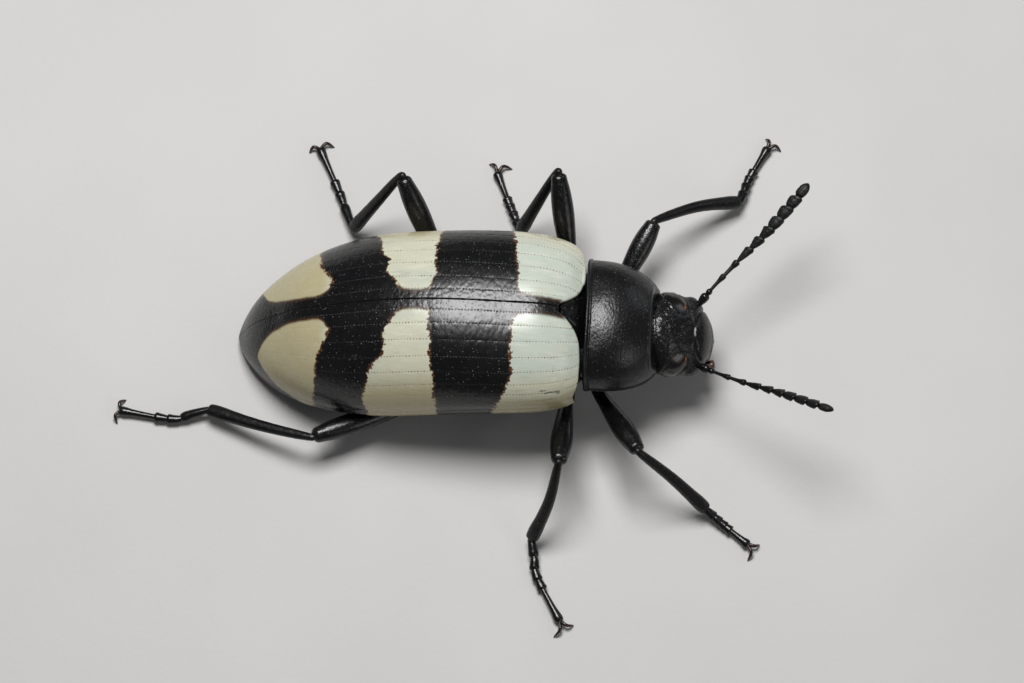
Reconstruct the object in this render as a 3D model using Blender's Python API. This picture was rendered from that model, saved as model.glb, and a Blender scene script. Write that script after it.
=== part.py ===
# A darkling beetle with black and cream wing cases, life size, standing on its six feet.
# Metres, +Z up, +X towards the head, +Y the animal's left side; the floor is z = 0.
# Sizes are given in millimetres and turned into metres with MM.
from math import asin, cos, pi, radians, sin

import bmesh
import bpy
import numpy as np
from mathutils import Euler, Matrix, Vector

MM = 0.001
GAP = 0.1  # between touching pieces
SMOOTH_ANGLE = 40

# The middle of the footprint, from the point on the floor under the body frame
FOOTPRINT_MIDDLE = (1.22, -0.66)

# Body frame: x along the body, pitched head up about a point over the origin
BODY_PITCH = 8
BODY_HEIGHT = 2.3

# Wing cases, in the body frame: the seam's height, and the height of the widest line, along x
HALF_WIDTH = 2.77
WIDEST_X = -0.7
BASE_X = 4.5
REAR_LENGTH = 5.32
FRONT_LENGTH = 5.31
REAR_CURVE = (2.2, 0.62)
FRONT_CURVE = (4, 0.185)
BELLY_CURVE = 1.6
BELLY_DEPTH = 1.95
SHELL = 0.5
FOLD_ANGLE = 101
ROUNDNESS = 2.1
SUTURE_LINE = (
    (-6.02, -1.14), (-5.55, -0.28), (-4.5, 0.74), (-3.85, 1.2), (-2.76, 1.6), (-1.3, 2.02),
    (0.31, 2.17), (2.27, 1.97), (3.7, 1.68), (4.2, 1.42), (4.5, 1.12),
)
WIDEST_LINE = (
    (-6.02, -1.16), (-5.42, -1.1), (-4.6, -0.91), (-3.72, -0.68), (-2.2, -0.25), (-1.02, -0.03),
    (0.14, 0.12), (2.03, 0.25), (3.52, 0.14), (4.5, 0.02),
)
SHELL_STEPS = 10
REAR_STATIONS = 13
FRONT_STATIONS = 9
FRONT_SPACING = 1.7

# The core that the wing cases cover, parted behind the hind coxae
CORE_STATIONS = (4.42, 4.2, 3.8, 3.2, 2.4, 1.6, 0.8)
CORE_SIDES = 24
WAIST_X = 0.0

# Ventrites, the plates under the abdomen: each shortens towards the tip and steps in at its front edge
VENTRITES = 5
VENTRITE_STEP = 0.05
VENTRITE_SPACING = 1.15
VENTRITE_RINGS = (0.0, 0.5, 0.94)
LAST_VENTRITE_RING = 0.9

# Scutellum, the small triangle between the bases of the wing cases
SCUTELLUM_TIP_X = 3.86
SCUTELLUM_HALF_WIDTH = 0.52
SCUTELLUM_THICKNESS = 0.45
SCUTELLUM_SUNK = 0.03
SCUTELLUM_EDGE_GAP = 0.12
SCUTELLUM_TIP_GAP = 0.24
SCUTELLUM_UNDERSIDE = 0.8
SCUTELLUM_POINTS = 5

# Prothorax, in the body frame
PROTHORAX_HALF_WIDTH = 1.98
PROTHORAX_TAPER = 2.35
PROTHORAX_CURVE = (3, 0.4)
MARGIN_LINE = ((4.5, 0.02), (5.5, -0.2), (6.56, -0.6))
PRONOTUM_HEIGHT = ((4.5, 1.1), (5.2, 1.22), (5.9, 1.2), (6.56, 0.98))
STERNUM_DEPTH = ((4.5, 1.2), (5.5, 1.2), (6.56, 0.9))
RIM = 0.06
# Where each ring is along x, and how far it is raised: a bead runs along the base
PROTHORAX_STATIONS = (
    (4.6, -0.02), (4.63, 0.02), (4.7, 0.02), (4.77, -0.03), (4.95, 0.0), (5.3, 0.0),
    (5.65, 0.0), (5.95, 0.0), (6.2, 0.0), (6.38, 0.0), (6.48, 0.01), (6.56, -0.03),
)
# Round one side of a ring, from the top to the bottom, with the side margin at 90 degrees
PROTHORAX_ANGLES = (0, 15.6, 31.2, 46.8, 62.4, 78, 84, 90, 97, 104, 119.2, 134.4, 149.6, 164.8, 180)

# Head frame: x from the neck to the mouth, placed in the world
NECK = (6.5, 0.0, 2.6)
HEAD_PITCH = 28
HEAD_YAW = 5
# Along the head: distance from the neck, half width, height above and depth below the axis
HEAD_STATIONS = (
    (-0.46, 0.12, 0.12, 0.12), (-0.4, 0.42, 0.38, 0.38), (-0.22, 0.78, 0.58, 0.6),
    (0.0, 1.0, 0.66, 0.7), (0.15, 1.17, 0.69, 0.75), (0.4, 1.23, 0.72, 0.78),
    (0.66, 1.23, 0.72, 0.76), (0.93, 1.13, 0.7, 0.7), (1.2, 1.1, 0.64, 0.6),
    (1.4, 1.05, 0.55, 0.52), (1.58, 0.86, 0.42, 0.46), (1.72, 0.68, 0.3, 0.4),
)
HEAD_SIDES = 20
EYE_CENTRE = (0.68, 0.98, 0.12)
EYE_SIZE = (0.32, 0.3, 0.44)

# Mouthparts of the left side, in the head frame; the right side mirrors them
LABRUM_STATIONS = ((1.66, 0.54, 0.2), (1.8, 0.56, 0.16), (1.92, 0.5, 0.1), (2.0, 0.34, 0.03))
LABRUM_ACROSS = (-1, -0.6, -0.2, 0.2, 0.6, 1)
LABRUM_DROOP = 0.1
LABRUM_THICKNESS = 0.3
MANDIBLE_ROUTE = ((1.5, 0.5, -0.1), (1.8, 0.46, -0.28), (2.0, 0.16, -0.36))
MANDIBLE_PROFILE = ((0, 0.2), (0.5, 0.17), (0.85, 0.1), (1, 0.04))
PALP_ROUTE = ((1.3, 0.55, -0.45), (1.65, 0.82, -0.5), (2.02, 0.72, -0.3))
PALP_LENGTHS = (0.2, 0.2, 0.36)
PALP_RADII = (0.13, 0.14, 0.2)

# Feelers: length and half width of each of the eleven segments, from the head outwards
ANTENNA_LENGTHS = (0.62, 0.18, 0.62, 0.58, 0.54, 0.43, 0.42, 0.41, 0.43, 0.41, 0.58)
ANTENNA_RADII = (0.24, 0.22, 0.22, 0.22, 0.23, 0.23, 0.24, 0.25, 0.25, 0.24, 0.22)
ANTENNA_SOCKET = (1.22, 0.8, 0.2)
ANTENNA_ROUTES = {
    "left": ((8.11, 1.44, 2.6), (8.86, 2.28, 2.87), (9.74, 3.22, 3.2), (10.82, 4.52, 3.7)),
    "right": ((8.39, -1.11, 2.45), (9.25, -1.53, 2.87), (10.26, -1.97, 3.4), (11.77, -2.66, 4.1)),
}

# Legs, in the world, from the body outwards. The shin bends away from the straight line between knee and
# ankle by bow. The instep is a point half way along the foot. A claw has a heading in degrees and a reach.
LEGS = {
    "front_left": {
        "coxa": (5.0, 0.7, 1.3), "femur": (5.18, 1.35, 1.15), "knee": (6.36, 3.77, 1.9),
        "bow": (0.0, 0.05, 0.05), "ankle": (8.87, 5.1, 0.42), "instep": (9.16, 5.99, 0.23),
        "foot": (9.68, 7.02, 0.13), "segments": 5, "claws": ((-10, 0.4), (108, 0.34)),
    },
    "front_right": {
        "coxa": (5.0, -0.7, 1.3), "femur": (4.78, -1.2, 1.15), "knee": (6.21, -3.74, 2.7),
        "bow": (0.0, 0.04, 0.06), "ankle": (8.3, -4.65, 0.42), "instep": (8.96, -5.13, 0.23),
        "foot": (9.59, -5.6, 0.13), "segments": 5, "claws": ((16, 0.34), (-92, 0.44)),
    },
    "middle_left": {
        "coxa": (3.85, 0.85, 1.15), "femur": (4.08, 1.5, 1.05), "knee": (3.43, 4.71, 3.05),
        "bow": (0.0, 0.0, 0.08), "ankle": (2.37, 3.79, 0.45), "instep": (1.87, 4.99, 0.23),
        "foot": (1.54, 5.77, 0.13), "segments": 5, "claws": ((19, 0.5), (131, 0.38)),
    },
    "middle_right": {
        "coxa": (3.85, -0.85, 1.15), "femur": (4.05, -1.45, 1.05), "knee": (3.92, -4.28, 2.9),
        "bow": (0.11, -0.05, 0.06), "ankle": (3.22, -5.84, 0.42), "instep": (3.45, -6.94, 0.23),
        "foot": (4.2, -8.26, 0.13), "segments": 5, "claws": ((-3, 0.4), (-113, 0.46)),
    },
    "hind_left": {
        "coxa": (0.42, 0.85, 0.85), "femur": (0.5, 1.7, 0.62), "knee": (-1.17, 4.34, 3.0),
        "bow": (0.0, 0.0, 0.08), "ankle": (-2.64, 3.59, 0.42), "instep": (-3.17, 4.88, 0.23),
        "foot": (-3.84, 6.26, 0.13), "segments": 4, "claws": ((10, 0.46), (-154, 0.34)),
    },
    "hind_right": {
        "coxa": (0.42, -0.85, 0.85), "femur": (0.2, -1.6, 0.62), "knee": (-3.38, -3.33, 1.25),
        "bow": (0.02, -0.08, 0.03), "ankle": (-6.54, -2.36, 0.42), "instep": (-7.59, -2.65, 0.23),
        "foot": (-9.26, -2.45, 0.13), "segments": 4, "claws": ((68, 0.44), (-99, 0.38)),
    },
}
# A profile holds pairs of the share of the way along a limb and the radius there
COXA_SIZE = (0.42, 0.52, 0.42)
TROCHANTER_PROFILE = ((0, 0.26), (0.5, 0.27), (0.85, 0.28), (1, 0.16))
FEMUR_PROFILE = (
    (0, 0.12), (0.02, 0.2), (0.08, 0.25), (0.3, 0.26), (0.5, 0.3),
    (0.68, 0.33), (0.84, 0.3), (0.95, 0.25), (1, 0.14),
)
TIBIA_PROFILE = ((0, 0.1), (0.03, 0.2), (0.1, 0.22), (0.45, 0.225), (0.8, 0.245), (0.96, 0.25), (1, 0.18))
TARSUS_RADIUS = 0.22
LAST_TARSUS_RADIUS = 0.198
# Shares of the foot's length that its first segment, each one between and the last with the claws take
TARSUS_SHARES = (1.2, 0.8, 1.7)
CLAW_PROFILE = ((0, 0.1), (0.35, 0.11), (0.7, 0.08), (1, 0.03))
CLAW_ROOT = 0.1
CLAW_BEND = 0.6
CLAW_ARCH = 0.08
CLAW_TURN = 28
CLAW_TIP_HEIGHT = 0.06
# The block under the floor that cuts each sole flat
FLOOR_BLOCK = (4, 4, 2)

# A beaded segment: shares of its length and of its full radius; the limb's two ends are narrower
BEAD_SHAPE = ((0.12, 0.82), (0.7, 1.0), (1.0, 0.7))
FIRST_BEAD_END = 0.6
LAST_BEAD_END = 0.3

LIMB_SIDES = 10
THIN_SIDES = 8
CLAW_SIDES = 6

BLACK = (0.012, 0.012, 0.013)
CREAM = (0.62, 0.6, 0.5)
BROWN = (0.09, 0.04, 0.02)


def clear_scene():
    for old in list(bpy.data.objects):
        bpy.data.objects.remove(old, do_unlink=True)


def smooth_value(line, x):
    # A smooth curve through the (x, value) pairs of a line that is sorted by x
    xs = np.array([p[0] for p in line], float)
    ys = np.array([p[1] for p in line], float)
    slopes = np.gradient(ys, xs)
    i = int(np.clip(np.searchsorted(xs, x) - 1, 0, len(xs) - 2))
    span = xs[i + 1] - xs[i]
    t = np.clip((x - xs[i]) / span, 0, 1)
    a, b = 2 * t**3 - 3 * t**2 + 1, t**3 - 2 * t**2 + t
    c, d = -2 * t**3 + 3 * t**2, t**3 - t**2
    return float(a * ys[i] + b * span * slopes[i] + c * ys[i + 1] + d * span * slopes[i + 1])


def smooth_route(points, samples=60):
    # Points along a smooth line through a few points, and how far along each is
    points = [Vector(p) for p in points]
    before = points[0] * 2 - points[1]
    after = points[-1] * 2 - points[-2]
    knots = [before, *points, after]
    line = []
    for a, b, c, d in zip(knots, knots[1:], knots[2:], knots[3:]):
        for k in range(samples):
            t = k / samples
            bend = 2 * a - 5 * b + 4 * c - d
            twist = 3 * b - a - 3 * c + d
            line.append(0.5 * (2 * b + (c - a) * t + bend * t**2 + twist * t**3))
    line.append(points[-1])
    line = np.array(line)
    walked = np.concatenate([[0], np.cumsum(np.linalg.norm(np.diff(line, axis=0), axis=1))])
    return line, walked


def superellipse(angle, half_width, height, depth):
    # The angle runs from 0 on top over 90 degrees at the side to 180 below
    power = 2 / ROUNDNESS
    across = abs(sin(angle)) ** power
    along = abs(cos(angle)) ** power
    y = half_width * across * (1 if sin(angle) >= 0 else -1)
    z = height * along if cos(angle) >= 0 else -depth * along
    return y, z


def mesh_from(vertices, faces):
    bm = bmesh.new()
    made = [bm.verts.new(Vector(v) * MM) for v in vertices]
    for face in faces:
        bm.faces.new([made[i] for i in face])
    bmesh.ops.remove_doubles(bm, verts=bm.verts, dist=1e-7)
    bmesh.ops.triangulate(bm, faces=bm.faces)
    bmesh.ops.recalc_face_normals(bm, faces=bm.faces)
    return bm


def loft(rings):
    # A closed body through rings with the same number of points
    count = len(rings[0])
    vertices = [p for ring in rings for p in ring]
    faces = []
    for r in range(len(rings) - 1):
        for i in range(count):
            j = (i + 1) % count
            a, b = r * count, (r + 1) * count
            faces.append((a + i, a + j, b + j, b + i))
    for r in (0, len(rings) - 1):
        centre = len(vertices)
        vertices.append(np.mean(rings[r], axis=0))
        faces += [(r * count + i, r * count + (i + 1) % count, centre) for i in range(count)]
    return mesh_from(vertices, faces)


def slab(upper, lower):
    # A closed body between two grids of points of the same size
    rows, columns = len(upper), len(upper[0])
    vertices = [p for grid in (upper, lower) for row in grid for p in row]
    faces = []

    def at(side, r, c):
        return side * rows * columns + r * columns + c

    for side in (0, 1):
        for r in range(rows - 1):
            for c in range(columns - 1):
                faces.append((at(side, r, c), at(side, r, c + 1), at(side, r + 1, c + 1), at(side, r + 1, c)))
    for r in range(rows - 1):
        for c in (0, columns - 1):
            faces.append((at(0, r, c), at(0, r + 1, c), at(1, r + 1, c), at(1, r, c)))
    for c in range(columns - 1):
        for r in (0, rows - 1):
            faces.append((at(0, r, c), at(0, r, c + 1), at(1, r, c + 1), at(1, r, c)))
    return mesh_from(vertices, faces)


def tube(points, profile, sides=LIMB_SIDES):
    # A closed tube along a smooth line
    line, walked = smooth_route(points)
    rings = []
    step = walked[-1] * 0.01

    def at(distance):
        return Vector([np.interp(distance, walked, line[:, k]) for k in range(3)])

    for share, radius in profile:
        here = share * walked[-1]
        centre = at(here)
        ahead = (at(min(here + step, walked[-1])) - at(max(here - step, 0))).normalized()
        side = ahead.cross(Vector((0, 0, 1))).normalized()
        up = side.cross(ahead)
        ring = []
        for k in range(sides):
            angle = 2 * pi * k / sides
            ring.append(centre + side * cos(angle) * radius + up * sin(angle) * radius)
        rings.append(ring)
    return loft(rings)


def beads(lengths, radii):
    # The profile of a jointed limb: every segment is narrow at its base and widest near its end
    total = sum(lengths)
    profile = [(0, radii[0] * FIRST_BEAD_END)]
    start = 0.0
    for length, radius in zip(lengths, radii):
        for share, width in BEAD_SHAPE:
            profile.append(((start + share * length) / total, radius * width))
        start += length
    profile[-1] = (1, radii[-1] * LAST_BEAD_END)
    return profile


def mirrored(points, side):
    return [(x, side * y, z) for x, y, z in points]


def make_material(name, colour, roughness):
    material = bpy.data.materials.new(name)
    material.use_nodes = True
    shader = material.node_tree.nodes["Principled BSDF"]
    shader.inputs["Base Color"].default_value = (*colour, 1)
    shader.inputs["Roughness"].default_value = roughness
    shader.inputs["Metallic"].default_value = 0
    return material


def add_object(name, bm, parent, origin=(0, 0, 0), colour=BLACK, roughness=0.35):
    # The mesh is in the parent's frame; the object's own origin goes where it is jointed
    origin = Vector(origin) * MM
    bmesh.ops.translate(bm, verts=bm.verts, vec=-origin)
    mesh = bpy.data.meshes.new(name)
    bm.to_mesh(mesh)
    bm.free()
    mesh.shade_smooth()
    mesh.set_sharp_from_angle(angle=radians(SMOOTH_ANGLE))
    mesh.materials.append(make_material(name, colour, roughness))
    piece = bpy.data.objects.new(name, mesh)
    bpy.context.collection.objects.link(piece)
    piece.parent = parent
    piece.location = origin
    return piece


def add_empty(name, parent, location, rotation=(0, 0, 0)):
    empty = bpy.data.objects.new(name, None)
    empty.empty_display_size = 2 * MM
    bpy.context.collection.objects.link(empty)
    empty.parent = parent
    empty.location = Vector(location) * MM
    empty.rotation_euler = Euler([radians(a) for a in rotation])
    return empty


def keep_largest(piece):
    # Drops every closed surface of the mesh but the one with the largest area
    bm = bmesh.new()
    bm.from_mesh(piece.data)
    waiting = set(bm.faces)
    shells = []
    while waiting:
        front = [waiting.pop()]
        shell = list(front)
        while front:
            for edge in front.pop().edges:
                for face in edge.link_faces:
                    if face in waiting:
                        waiting.remove(face)
                        front.append(face)
                        shell.append(face)
        shells.append(shell)
    shells.sort(key=lambda shell: sum(f.calc_area() for f in shell))
    loose = [f for shell in shells[:-1] for f in shell]
    bmesh.ops.delete(bm, geom=loose, context="FACES")
    bm.to_mesh(piece.data)
    bm.free()


def apply_boolean(piece, operation, others):
    # One Boolean with a collection of closed pieces, which are removed afterwards
    tools = bpy.data.collections.new("tools")
    for other in others:
        tools.objects.link(other)
    modifier = piece.modifiers.new("boolean", "BOOLEAN")
    modifier.operation = operation
    modifier.operand_type = "COLLECTION"
    modifier.collection = tools
    bpy.context.view_layer.update()
    evaluated = piece.evaluated_get(bpy.context.evaluated_depsgraph_get())
    mesh = bpy.data.meshes.new_from_object(evaluated)
    piece.modifiers.clear()
    piece.data = mesh
    bpy.data.collections.remove(tools)
    for other in others:
        bpy.data.objects.remove(other, do_unlink=True)
    keep_largest(piece)


def grown_copy(piece):
    # A cutter: the piece with every face moved outwards by the gap
    copy = piece.copy()
    copy.data = piece.data.copy()
    bpy.context.collection.objects.link(copy)
    copy.hide_render = True
    copy.display_type = "WIRE"
    bm = bmesh.new()
    bm.from_mesh(copy.data)
    moves = [v.normal * v.calc_shell_factor() * GAP * MM for v in bm.verts]
    for vertex, move in zip(bm.verts, moves):
        vertex.co += move
    bm.to_mesh(copy.data)
    bm.free()
    return copy


def cut_clear(piece, *neighbours):
    # Takes from a piece what its neighbours and the gap round them need
    apply_boolean(piece, "DIFFERENCE", [grown_copy(n) for n in neighbours])


def outline(x):
    # Half width of the closed wing cases
    if x < WIDEST_X:
        power, root = REAR_CURVE
        return HALF_WIDTH * max(1 - ((WIDEST_X - x) / REAR_LENGTH) ** power, 0) ** root
    power, root = FRONT_CURVE
    return HALF_WIDTH * max(1 - ((x - WIDEST_X) / FRONT_LENGTH) ** power, 0) ** root


def depth_below(x):
    if x < WIDEST_X:
        return BELLY_DEPTH * max(1 - ((WIDEST_X - x) / REAR_LENGTH) ** BELLY_CURVE, 0)
    return BELLY_DEPTH


def height_above(x):
    return max(smooth_value(SUTURE_LINE, x) - smooth_value(WIDEST_LINE, x), 0)


def body_section(x, inset):
    # Half width, height, depth and middle of the surface that lies inset inside the wing cases
    middle = smooth_value(WIDEST_LINE, x)
    if x >= WIDEST_X:
        return outline(x) - inset, height_above(x) - inset, depth_below(x) - inset, middle
    outer_x = WIDEST_X - (WIDEST_X - x) * REAR_LENGTH / (REAR_LENGTH - inset)
    share = 1 - inset / HALF_WIDTH
    height = height_above(outer_x) * (1 - inset / height_above(WIDEST_X))
    return outline(outer_x) * share, height, depth_below(outer_x) * share, middle


def seam_offset(x):
    # How far the inner edge of a wing case is from the middle, past the scutellum at its base
    opening = SCUTELLUM_HALF_WIDTH * (x - SCUTELLUM_TIP_X) / (BASE_X - SCUTELLUM_TIP_X)
    return GAP / 2 + max(opening, 0)


def shell_grid(inset, side):
    # Rows from the base to the tip, each from the seam over the widest line to the folded edge
    rows = []
    for k in range(FRONT_STATIONS):
        rows.append(BASE_X - (BASE_X - WIDEST_X) * (k / FRONT_STATIONS) ** FRONT_SPACING)
    for k in range(REAR_STATIONS):
        rows.append(WIDEST_X - (REAR_LENGTH - inset) * sin(pi / 2 * k / REAR_STATIONS))
    grid = []
    for x in rows:
        half, height, depth, middle = body_section(x, inset)
        first = asin(min(seam_offset(x) / half, 1) ** (ROUNDNESS / 2))
        row = []
        for k in range(SHELL_STEPS + 1):
            angle = first + (radians(FOLD_ANGLE) - first) * k / SHELL_STEPS
            y, z = superellipse(angle, half, height, depth)
            row.append((x, side * y, middle + z))
        grid.append(row)
    tip_x = WIDEST_X - REAR_LENGTH + inset
    tip = (tip_x, side * GAP / 2, smooth_value(WIDEST_LINE, tip_x))
    grid.append([tip] * (SHELL_STEPS + 1))
    return grid


def core_ring(x, deep=1.0):
    half, height, depth, middle = body_section(x, SHELL + GAP)
    ring = []
    for k in range(CORE_SIDES):
        angle = 2 * pi * (k + 0.5) / CORE_SIDES
        y, z = superellipse(angle, half, height, depth * deep)
        ring.append((x, y, middle + z))
    return ring


def pterothorax_rings():
    return [core_ring(x) for x in (*CORE_STATIONS, WAIST_X + GAP / 2)]


def abdomen_rings():
    tip_x = WIDEST_X - REAR_LENGTH + SHELL + GAP
    start = WAIST_X - GAP / 2
    length = start - tip_x
    rings = []
    for k in range(VENTRITES):
        front = start - length * (k / VENTRITES) ** VENTRITE_SPACING
        back = start - length * ((k + 1) / VENTRITES) ** VENTRITE_SPACING
        step = VENTRITE_STEP if k > 0 else 0
        for share in VENTRITE_RINGS:
            last = k == VENTRITES - 1 and share == VENTRITE_RINGS[-1]
            x = front + (back - front) * (LAST_VENTRITE_RING if last else share)
            rings.append(core_ring(x, 1 - step * (1 - share)))
    return rings


def scutellum_grids():
    upper, lower = [], []
    stations = np.linspace(BASE_X - GAP / 2, SCUTELLUM_TIP_X + SCUTELLUM_TIP_GAP, SCUTELLUM_POINTS)
    for x in stations:
        half, height, depth, middle = body_section(x, 0)
        edge = seam_offset(x) - SCUTELLUM_EDGE_GAP
        row_up, row_low = [], []
        for y in np.linspace(-edge, edge, SCUTELLUM_POINTS):
            angle = asin(min(abs(y) / half, 1) ** (ROUNDNESS / 2))
            z = middle + superellipse(angle, half, height, depth)[1] - SCUTELLUM_SUNK
            row_up.append((x, y, z))
            row_low.append((x, y * SCUTELLUM_UNDERSIDE, z - SCUTELLUM_THICKNESS))
        upper.append(row_up)
        lower.append(row_low)
    return upper, lower


def prothorax_ring(x, raised):
    power, root = PROTHORAX_CURVE
    half = PROTHORAX_HALF_WIDTH * (1 - ((x - BASE_X) / PROTHORAX_TAPER) ** power) ** root + raised
    height = smooth_value(PRONOTUM_HEIGHT, x) + raised
    depth = smooth_value(STERNUM_DEPTH, x) + raised
    middle = smooth_value(MARGIN_LINE, x)
    other_side = [360 - a for a in reversed(PROTHORAX_ANGLES[1:-1])]
    ring = []
    for angle in (*PROTHORAX_ANGLES, *other_side):
        y, z = superellipse(radians(angle), half, height, depth)
        if angle in (90, 270):
            y += RIM * (1 if y > 0 else -1)
        ring.append((x, y, middle + z))
    return ring


def head_rings():
    rings = []
    for x, half, height, depth in HEAD_STATIONS:
        ring = []
        for k in range(HEAD_SIDES):
            angle = 2 * pi * (k + 0.5) / HEAD_SIDES
            y, z = superellipse(angle, half, height, depth)
            ring.append((x, y, z))
        rings.append(ring)
    return rings


def ellipsoid(centre, size, rings=7, sides=12):
    made = []
    for r in range(1, rings + 1):
        polar = pi * r / (rings + 1)
        ring = []
        for k in range(sides):
            angle = 2 * pi * k / sides
            ring.append((
                centre[0] + size[0] * sin(polar) * cos(angle),
                centre[1] + size[1] * sin(polar) * sin(angle),
                centre[2] + size[2] * cos(polar),
            ))
        made.append(ring)
    return loft(made)


def labrum_grids():
    upper, lower = [], []
    for x, half, z in LABRUM_STATIONS:
        upper.append([(x, half * c, z - LABRUM_DROOP * c**2) for c in LABRUM_ACROSS])
        lower.append([(x, half * c, z - LABRUM_THICKNESS) for c in LABRUM_ACROSS])
    return upper, lower


def build_body(root):
    body = add_empty("body_frame", root, (0, 0, BODY_HEIGHT), (0, -BODY_PITCH, 0))
    for name, side in (("elytron_left", 1), ("elytron_right", -1)):
        bm = slab(shell_grid(0, side), shell_grid(SHELL, side))
        add_object(name, bm, body, (BASE_X, side * HALF_WIDTH / 2, 0), CREAM, 0.3)
    add_object("scutellum", slab(*scutellum_grids()), body, (BASE_X, 0, 1), BLACK, 0.3)
    pterothorax = add_object("pterothorax", loft(pterothorax_rings()), body, (WAIST_X, 0, 0))
    add_object("abdomen", loft(abdomen_rings()), body, (WAIST_X, 0, 0))
    rings = [prothorax_ring(x, raised) for x, raised in PROTHORAX_STATIONS]
    prothorax = add_object("prothorax", loft(rings), body, (BASE_X, 0, 0))
    return pterothorax, prothorax


def build_antenna(root, to_root, capsule, side_name, side):
    socket = to_root @ Vector((ANTENNA_SOCKET[0], side * ANTENNA_SOCKET[1], ANTENNA_SOCKET[2]))
    route = [socket, *ANTENNA_ROUTES[side_name]]
    antenna = tube(route, beads(ANTENNA_LENGTHS, ANTENNA_RADII), THIN_SIDES)
    antenna = add_object(f"antenna_{side_name}", antenna, root, socket, BLACK, 0.6)
    cut_clear(antenna, capsule)


def build_jaws(frame, capsule, side_name, side):
    route = mirrored(MANDIBLE_ROUTE, side)
    mandible = tube(route, MANDIBLE_PROFILE, THIN_SIDES)
    mandible = add_object(f"mandible_{side_name}", mandible, frame, route[0], BLACK, 0.25)
    cut_clear(mandible, capsule)
    route = mirrored(PALP_ROUTE, side)
    palp = tube(route, beads(PALP_LENGTHS, PALP_RADII), THIN_SIDES)
    palp = add_object(f"palp_{side_name}", palp, frame, route[0], BROWN, 0.4)
    cut_clear(palp, capsule, mandible)


def build_head(root, prothorax):
    frame = add_empty("head_frame", root, NECK, (0, HEAD_PITCH, HEAD_YAW))
    to_root = Matrix.LocRotScale(Vector(NECK), frame.rotation_euler.to_quaternion(), None)
    capsule = add_object("head_capsule", loft(head_rings()), frame)
    eyes = []
    for side_name, side in (("left", 1), ("right", -1)):
        build_antenna(root, to_root, capsule, side_name, side)
        build_jaws(frame, capsule, side_name, side)
        centre = (EYE_CENTRE[0], side * EYE_CENTRE[1], EYE_CENTRE[2])
        eyes.append(add_object(f"eye_{side_name}", ellipsoid(centre, EYE_SIZE), frame, centre, BROWN, 0.15))
    labrum = add_object("labrum", slab(*labrum_grids()), frame, (LABRUM_STATIONS[0][0], 0, 0), BLACK, 0.25)
    cut_clear(labrum, capsule)
    cut_clear(prothorax, capsule)
    cut_clear(capsule, *eyes)


def claw(foot, along, heading, reach):
    # Leaves the foot near its own direction, arches over and hooks down to its tip just above the floor
    start = foot - along * CLAW_ROOT
    side = 1 if Vector((cos(heading), sin(heading))).angle_signed(along.xy) > 0 else -1
    turned = heading + side * radians(CLAW_TURN)
    bend = foot + Vector((cos(turned), sin(turned), 0)) * reach * CLAW_BEND
    tip = foot + Vector((cos(heading), sin(heading), 0)) * reach
    bend.z = foot.z + CLAW_ARCH
    tip.z = CLAW_TIP_HEIGHT
    return tube((start, bend, tip), CLAW_PROFILE, CLAW_SIDES)


def floor_block(foot):
    # A block whose top is the floor
    block = bmesh.new()
    bmesh.ops.create_cube(block, size=MM)
    bmesh.ops.scale(block, vec=FLOOR_BLOCK, verts=block.verts)
    middle = Vector((foot.x, foot.y, -FLOOR_BLOCK[2] / 2))
    bmesh.ops.translate(block, vec=middle * MM, verts=block.verts)
    return block


def build_tarsus(root, name, leg):
    ankle, instep, foot = Vector(leg["ankle"]), Vector(leg["instep"]), Vector(leg["foot"])
    first, between, last = TARSUS_SHARES
    lengths = [first] + [between] * (leg["segments"] - 2) + [last]
    radii = [TARSUS_RADIUS] * (leg["segments"] - 1) + [LAST_TARSUS_RADIUS]
    tarsus = tube((ankle, instep, foot), beads(lengths, radii), THIN_SIDES)
    tarsus = add_object(f"leg_{name}_tarsus", tarsus, root, ankle, BLACK, 0.5)
    apply_boolean(tarsus, "DIFFERENCE", [add_object("floor_block", floor_block(foot), root)])
    along = (foot - instep).normalized()
    claws = []
    for heading, reach in leg["claws"]:
        claws.append(add_object("claw", claw(foot, along, radians(heading), reach), root))
    apply_boolean(tarsus, "UNION", claws)
    return tarsus


def build_leg(root, name, leg, body_piece):
    coxa = add_object(f"leg_{name}_coxa", ellipsoid(leg["coxa"], COXA_SIZE), root, leg["coxa"])
    trochanter = tube((leg["coxa"], leg["femur"]), TROCHANTER_PROFILE)
    apply_boolean(coxa, "UNION", [add_object("trochanter", trochanter, root)])
    femur = tube((leg["femur"], leg["knee"]), FEMUR_PROFILE)
    femur = add_object(f"leg_{name}_femur", femur, root, leg["femur"], BLACK, 0.25)
    knee, ankle = Vector(leg["knee"]), Vector(leg["ankle"])
    tibia = tube((knee, (knee + ankle) / 2 + Vector(leg["bow"]), ankle), TIBIA_PROFILE)
    tibia = add_object(f"leg_{name}_tibia", tibia, root, knee, BLACK, 0.4)
    tarsus = build_tarsus(root, name, leg)
    cut_clear(tarsus, tibia)
    cut_clear(tibia, femur)
    cut_clear(femur, coxa)
    cut_clear(coxa, body_piece)


def main():
    clear_scene()
    root = add_empty("beetle_frame", None, (-FOOTPRINT_MIDDLE[0], -FOOTPRINT_MIDDLE[1], 0))
    pterothorax, prothorax = build_body(root)
    build_head(root, prothorax)
    for name, leg in LEGS.items():
        build_leg(root, name, leg, prothorax if name.startswith("front") else pterothorax)


main()
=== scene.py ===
from itertools import product
from math import cos, pi, radians, sin, tau

import bpy
import numpy as np
from mathutils import Matrix, Vector


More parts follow.
